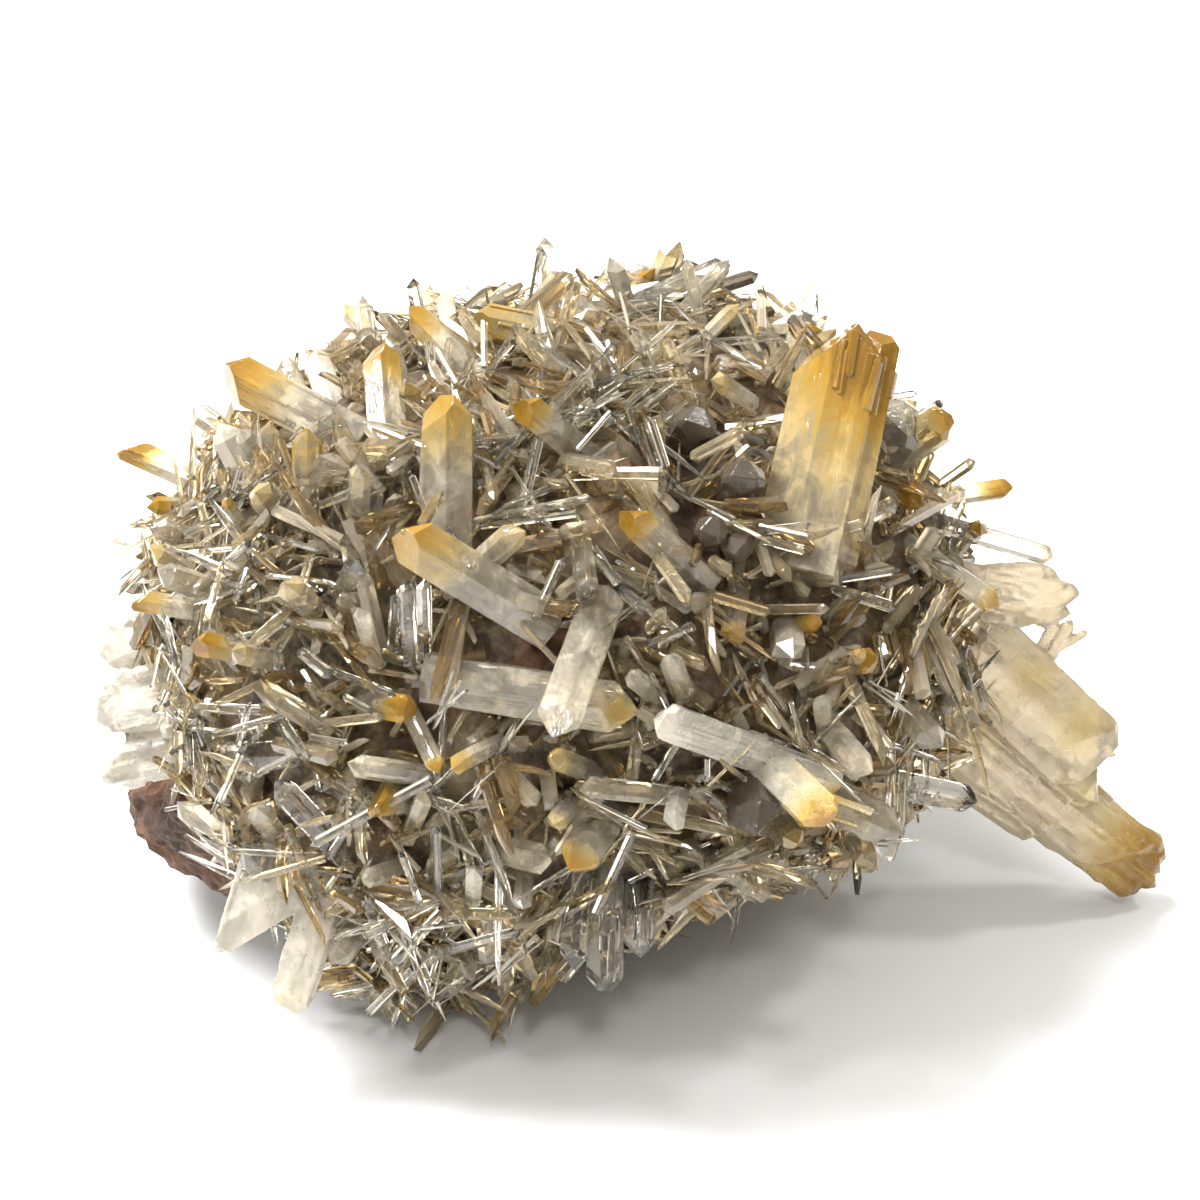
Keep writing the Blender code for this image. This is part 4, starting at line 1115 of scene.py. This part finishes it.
def buildStage():
    mesh = bpy.data.meshes.new("floor")
    half = 3.0
    corners = [(-half, -half, 0), (half, -half, 0), (half, half, 0), (-half, half, 0)]
    mesh.from_pydata(corners, [], [(0, 1, 2, 3)])
    floor = bpy.data.objects.new("floor", mesh)
    bpy.context.scene.collection.objects.link(floor)
    mesh.materials.append(newMaterial("paleFloor", (0.93, 0.93, 0.93), 0.9)[0])

    world = bpy.data.worlds.new("studio")
    world.use_nodes = True
    tree = world.node_tree
    surround = tree.nodes["Background"]
    height = separated(tree, put(tree, "ShaderNodeTexCoord").outputs["Generated"])["Z"]
    sky = ramp(tree, remap(tree, height, -0.1, 1.0, 0.0, 1.0), [
        (0.0, (0.20, 0.17, 0.13)), (0.35, (0.47, 0.44, 0.38)), (0.8, (0.90, 0.88, 0.84))])
    seen = put(tree, "ShaderNodeLightPath").outputs["Is Camera Ray"]
    tree.links.new(mixColour(tree, seen, sky, (1.0, 1.0, 1.0)), surround.inputs["Color"])
    surround.inputs["Strength"].default_value = 1.0
    bpy.context.scene.world = world
    world.cycles.sampling_method = "NONE"

    for name, place, size, power in (
        ("keyLight", (-0.40, 0.15, 0.85), 0.45, 22.0),
        ("glintLeft", (-0.75, -0.30, 0.70), 0.10, 2.2),
        ("glintRight", (0.55, 0.10, 0.80), 0.10, 1.8),
        ("glintFront", (0.05, -0.75, 0.85), 0.10, 1.8),
    ):
        light = bpy.data.lights.new(name, "AREA")
        light.size = size
        light.energy = power
        lamp = bpy.data.objects.new(name, light)
        bpy.context.scene.collection.objects.link(lamp)
        lamp.location = place
        lamp.rotation_euler = (Vector((0, 0, 0.04)) - Vector(place)).to_track_quat("-Z", "Y").to_euler()

    view = bpy.data.cameras.new("photograph")
    view.lens = camera["lens"]
    view.sensor_width = camera["sensor"]
    view.clip_start = 0.01
    eye = bpy.data.objects.new("photograph", view)
    bpy.context.scene.collection.objects.link(eye)
    eye.location = camera["target"] + towardsViewer * camera["distance"]
    eye.rotation_euler = (-towardsViewer).to_track_quat("-Z", "Y").to_euler()
    bpy.context.scene.camera = eye

    scene = bpy.context.scene
    scene.view_settings.view_transform = "Standard"
    scene.cycles.max_bounces = 7
    scene.cycles.transmission_bounces = 7
    scene.cycles.transparent_max_bounces = 4
    scene.cycles.diffuse_bounces = 1
    scene.cycles.glossy_bounces = 3
    scene.cycles.debug_use_spatial_splits = True       # long thin triangles trace faster
    scene.cycles.sample_clamp_indirect = 6.0


print("ground")
groundMesh = buildGround()
print("needles")
smallMeshes = buildSmallPrisms()
obstacles = joinedCrystals(list(smallMeshes.values()))
bpy.context.scene.collection.objects.link(obstacles)
sprays = needleTree()
needlePieces = []
for cropName, crop in needleCrops.items():
    needles = growNeedles(sprays, groundMesh, obstacles, crop)
    print(cropName, len(needles.vertices), "corners")
    needlePieces.append((cropName, needles))
bpy.data.objects.remove(obstacles)
addPiece("druseGround", groundMesh, "druse", ["needle_druse"], [groundMaterial()])
for cropName, needles in needlePieces:
    addPiece(cropName, needles, "druse", [], [material for material in needles.materials if material])
addPiece("singleNeedles", buildSingleNeedles(), "clear", [],
         [needleFinishes["clear"], needleFinishes["straw"]])
for finish, mesh in smallMeshes.items():
    slot = "milky" if finish == "pale" else finish
    addPiece(mesh.name, mesh, slot, [], [finishes["mango" if finish == "milky" else finish]])
print("crystals")
buildCrystals()
print("rock")
buildRock()
buildStage()
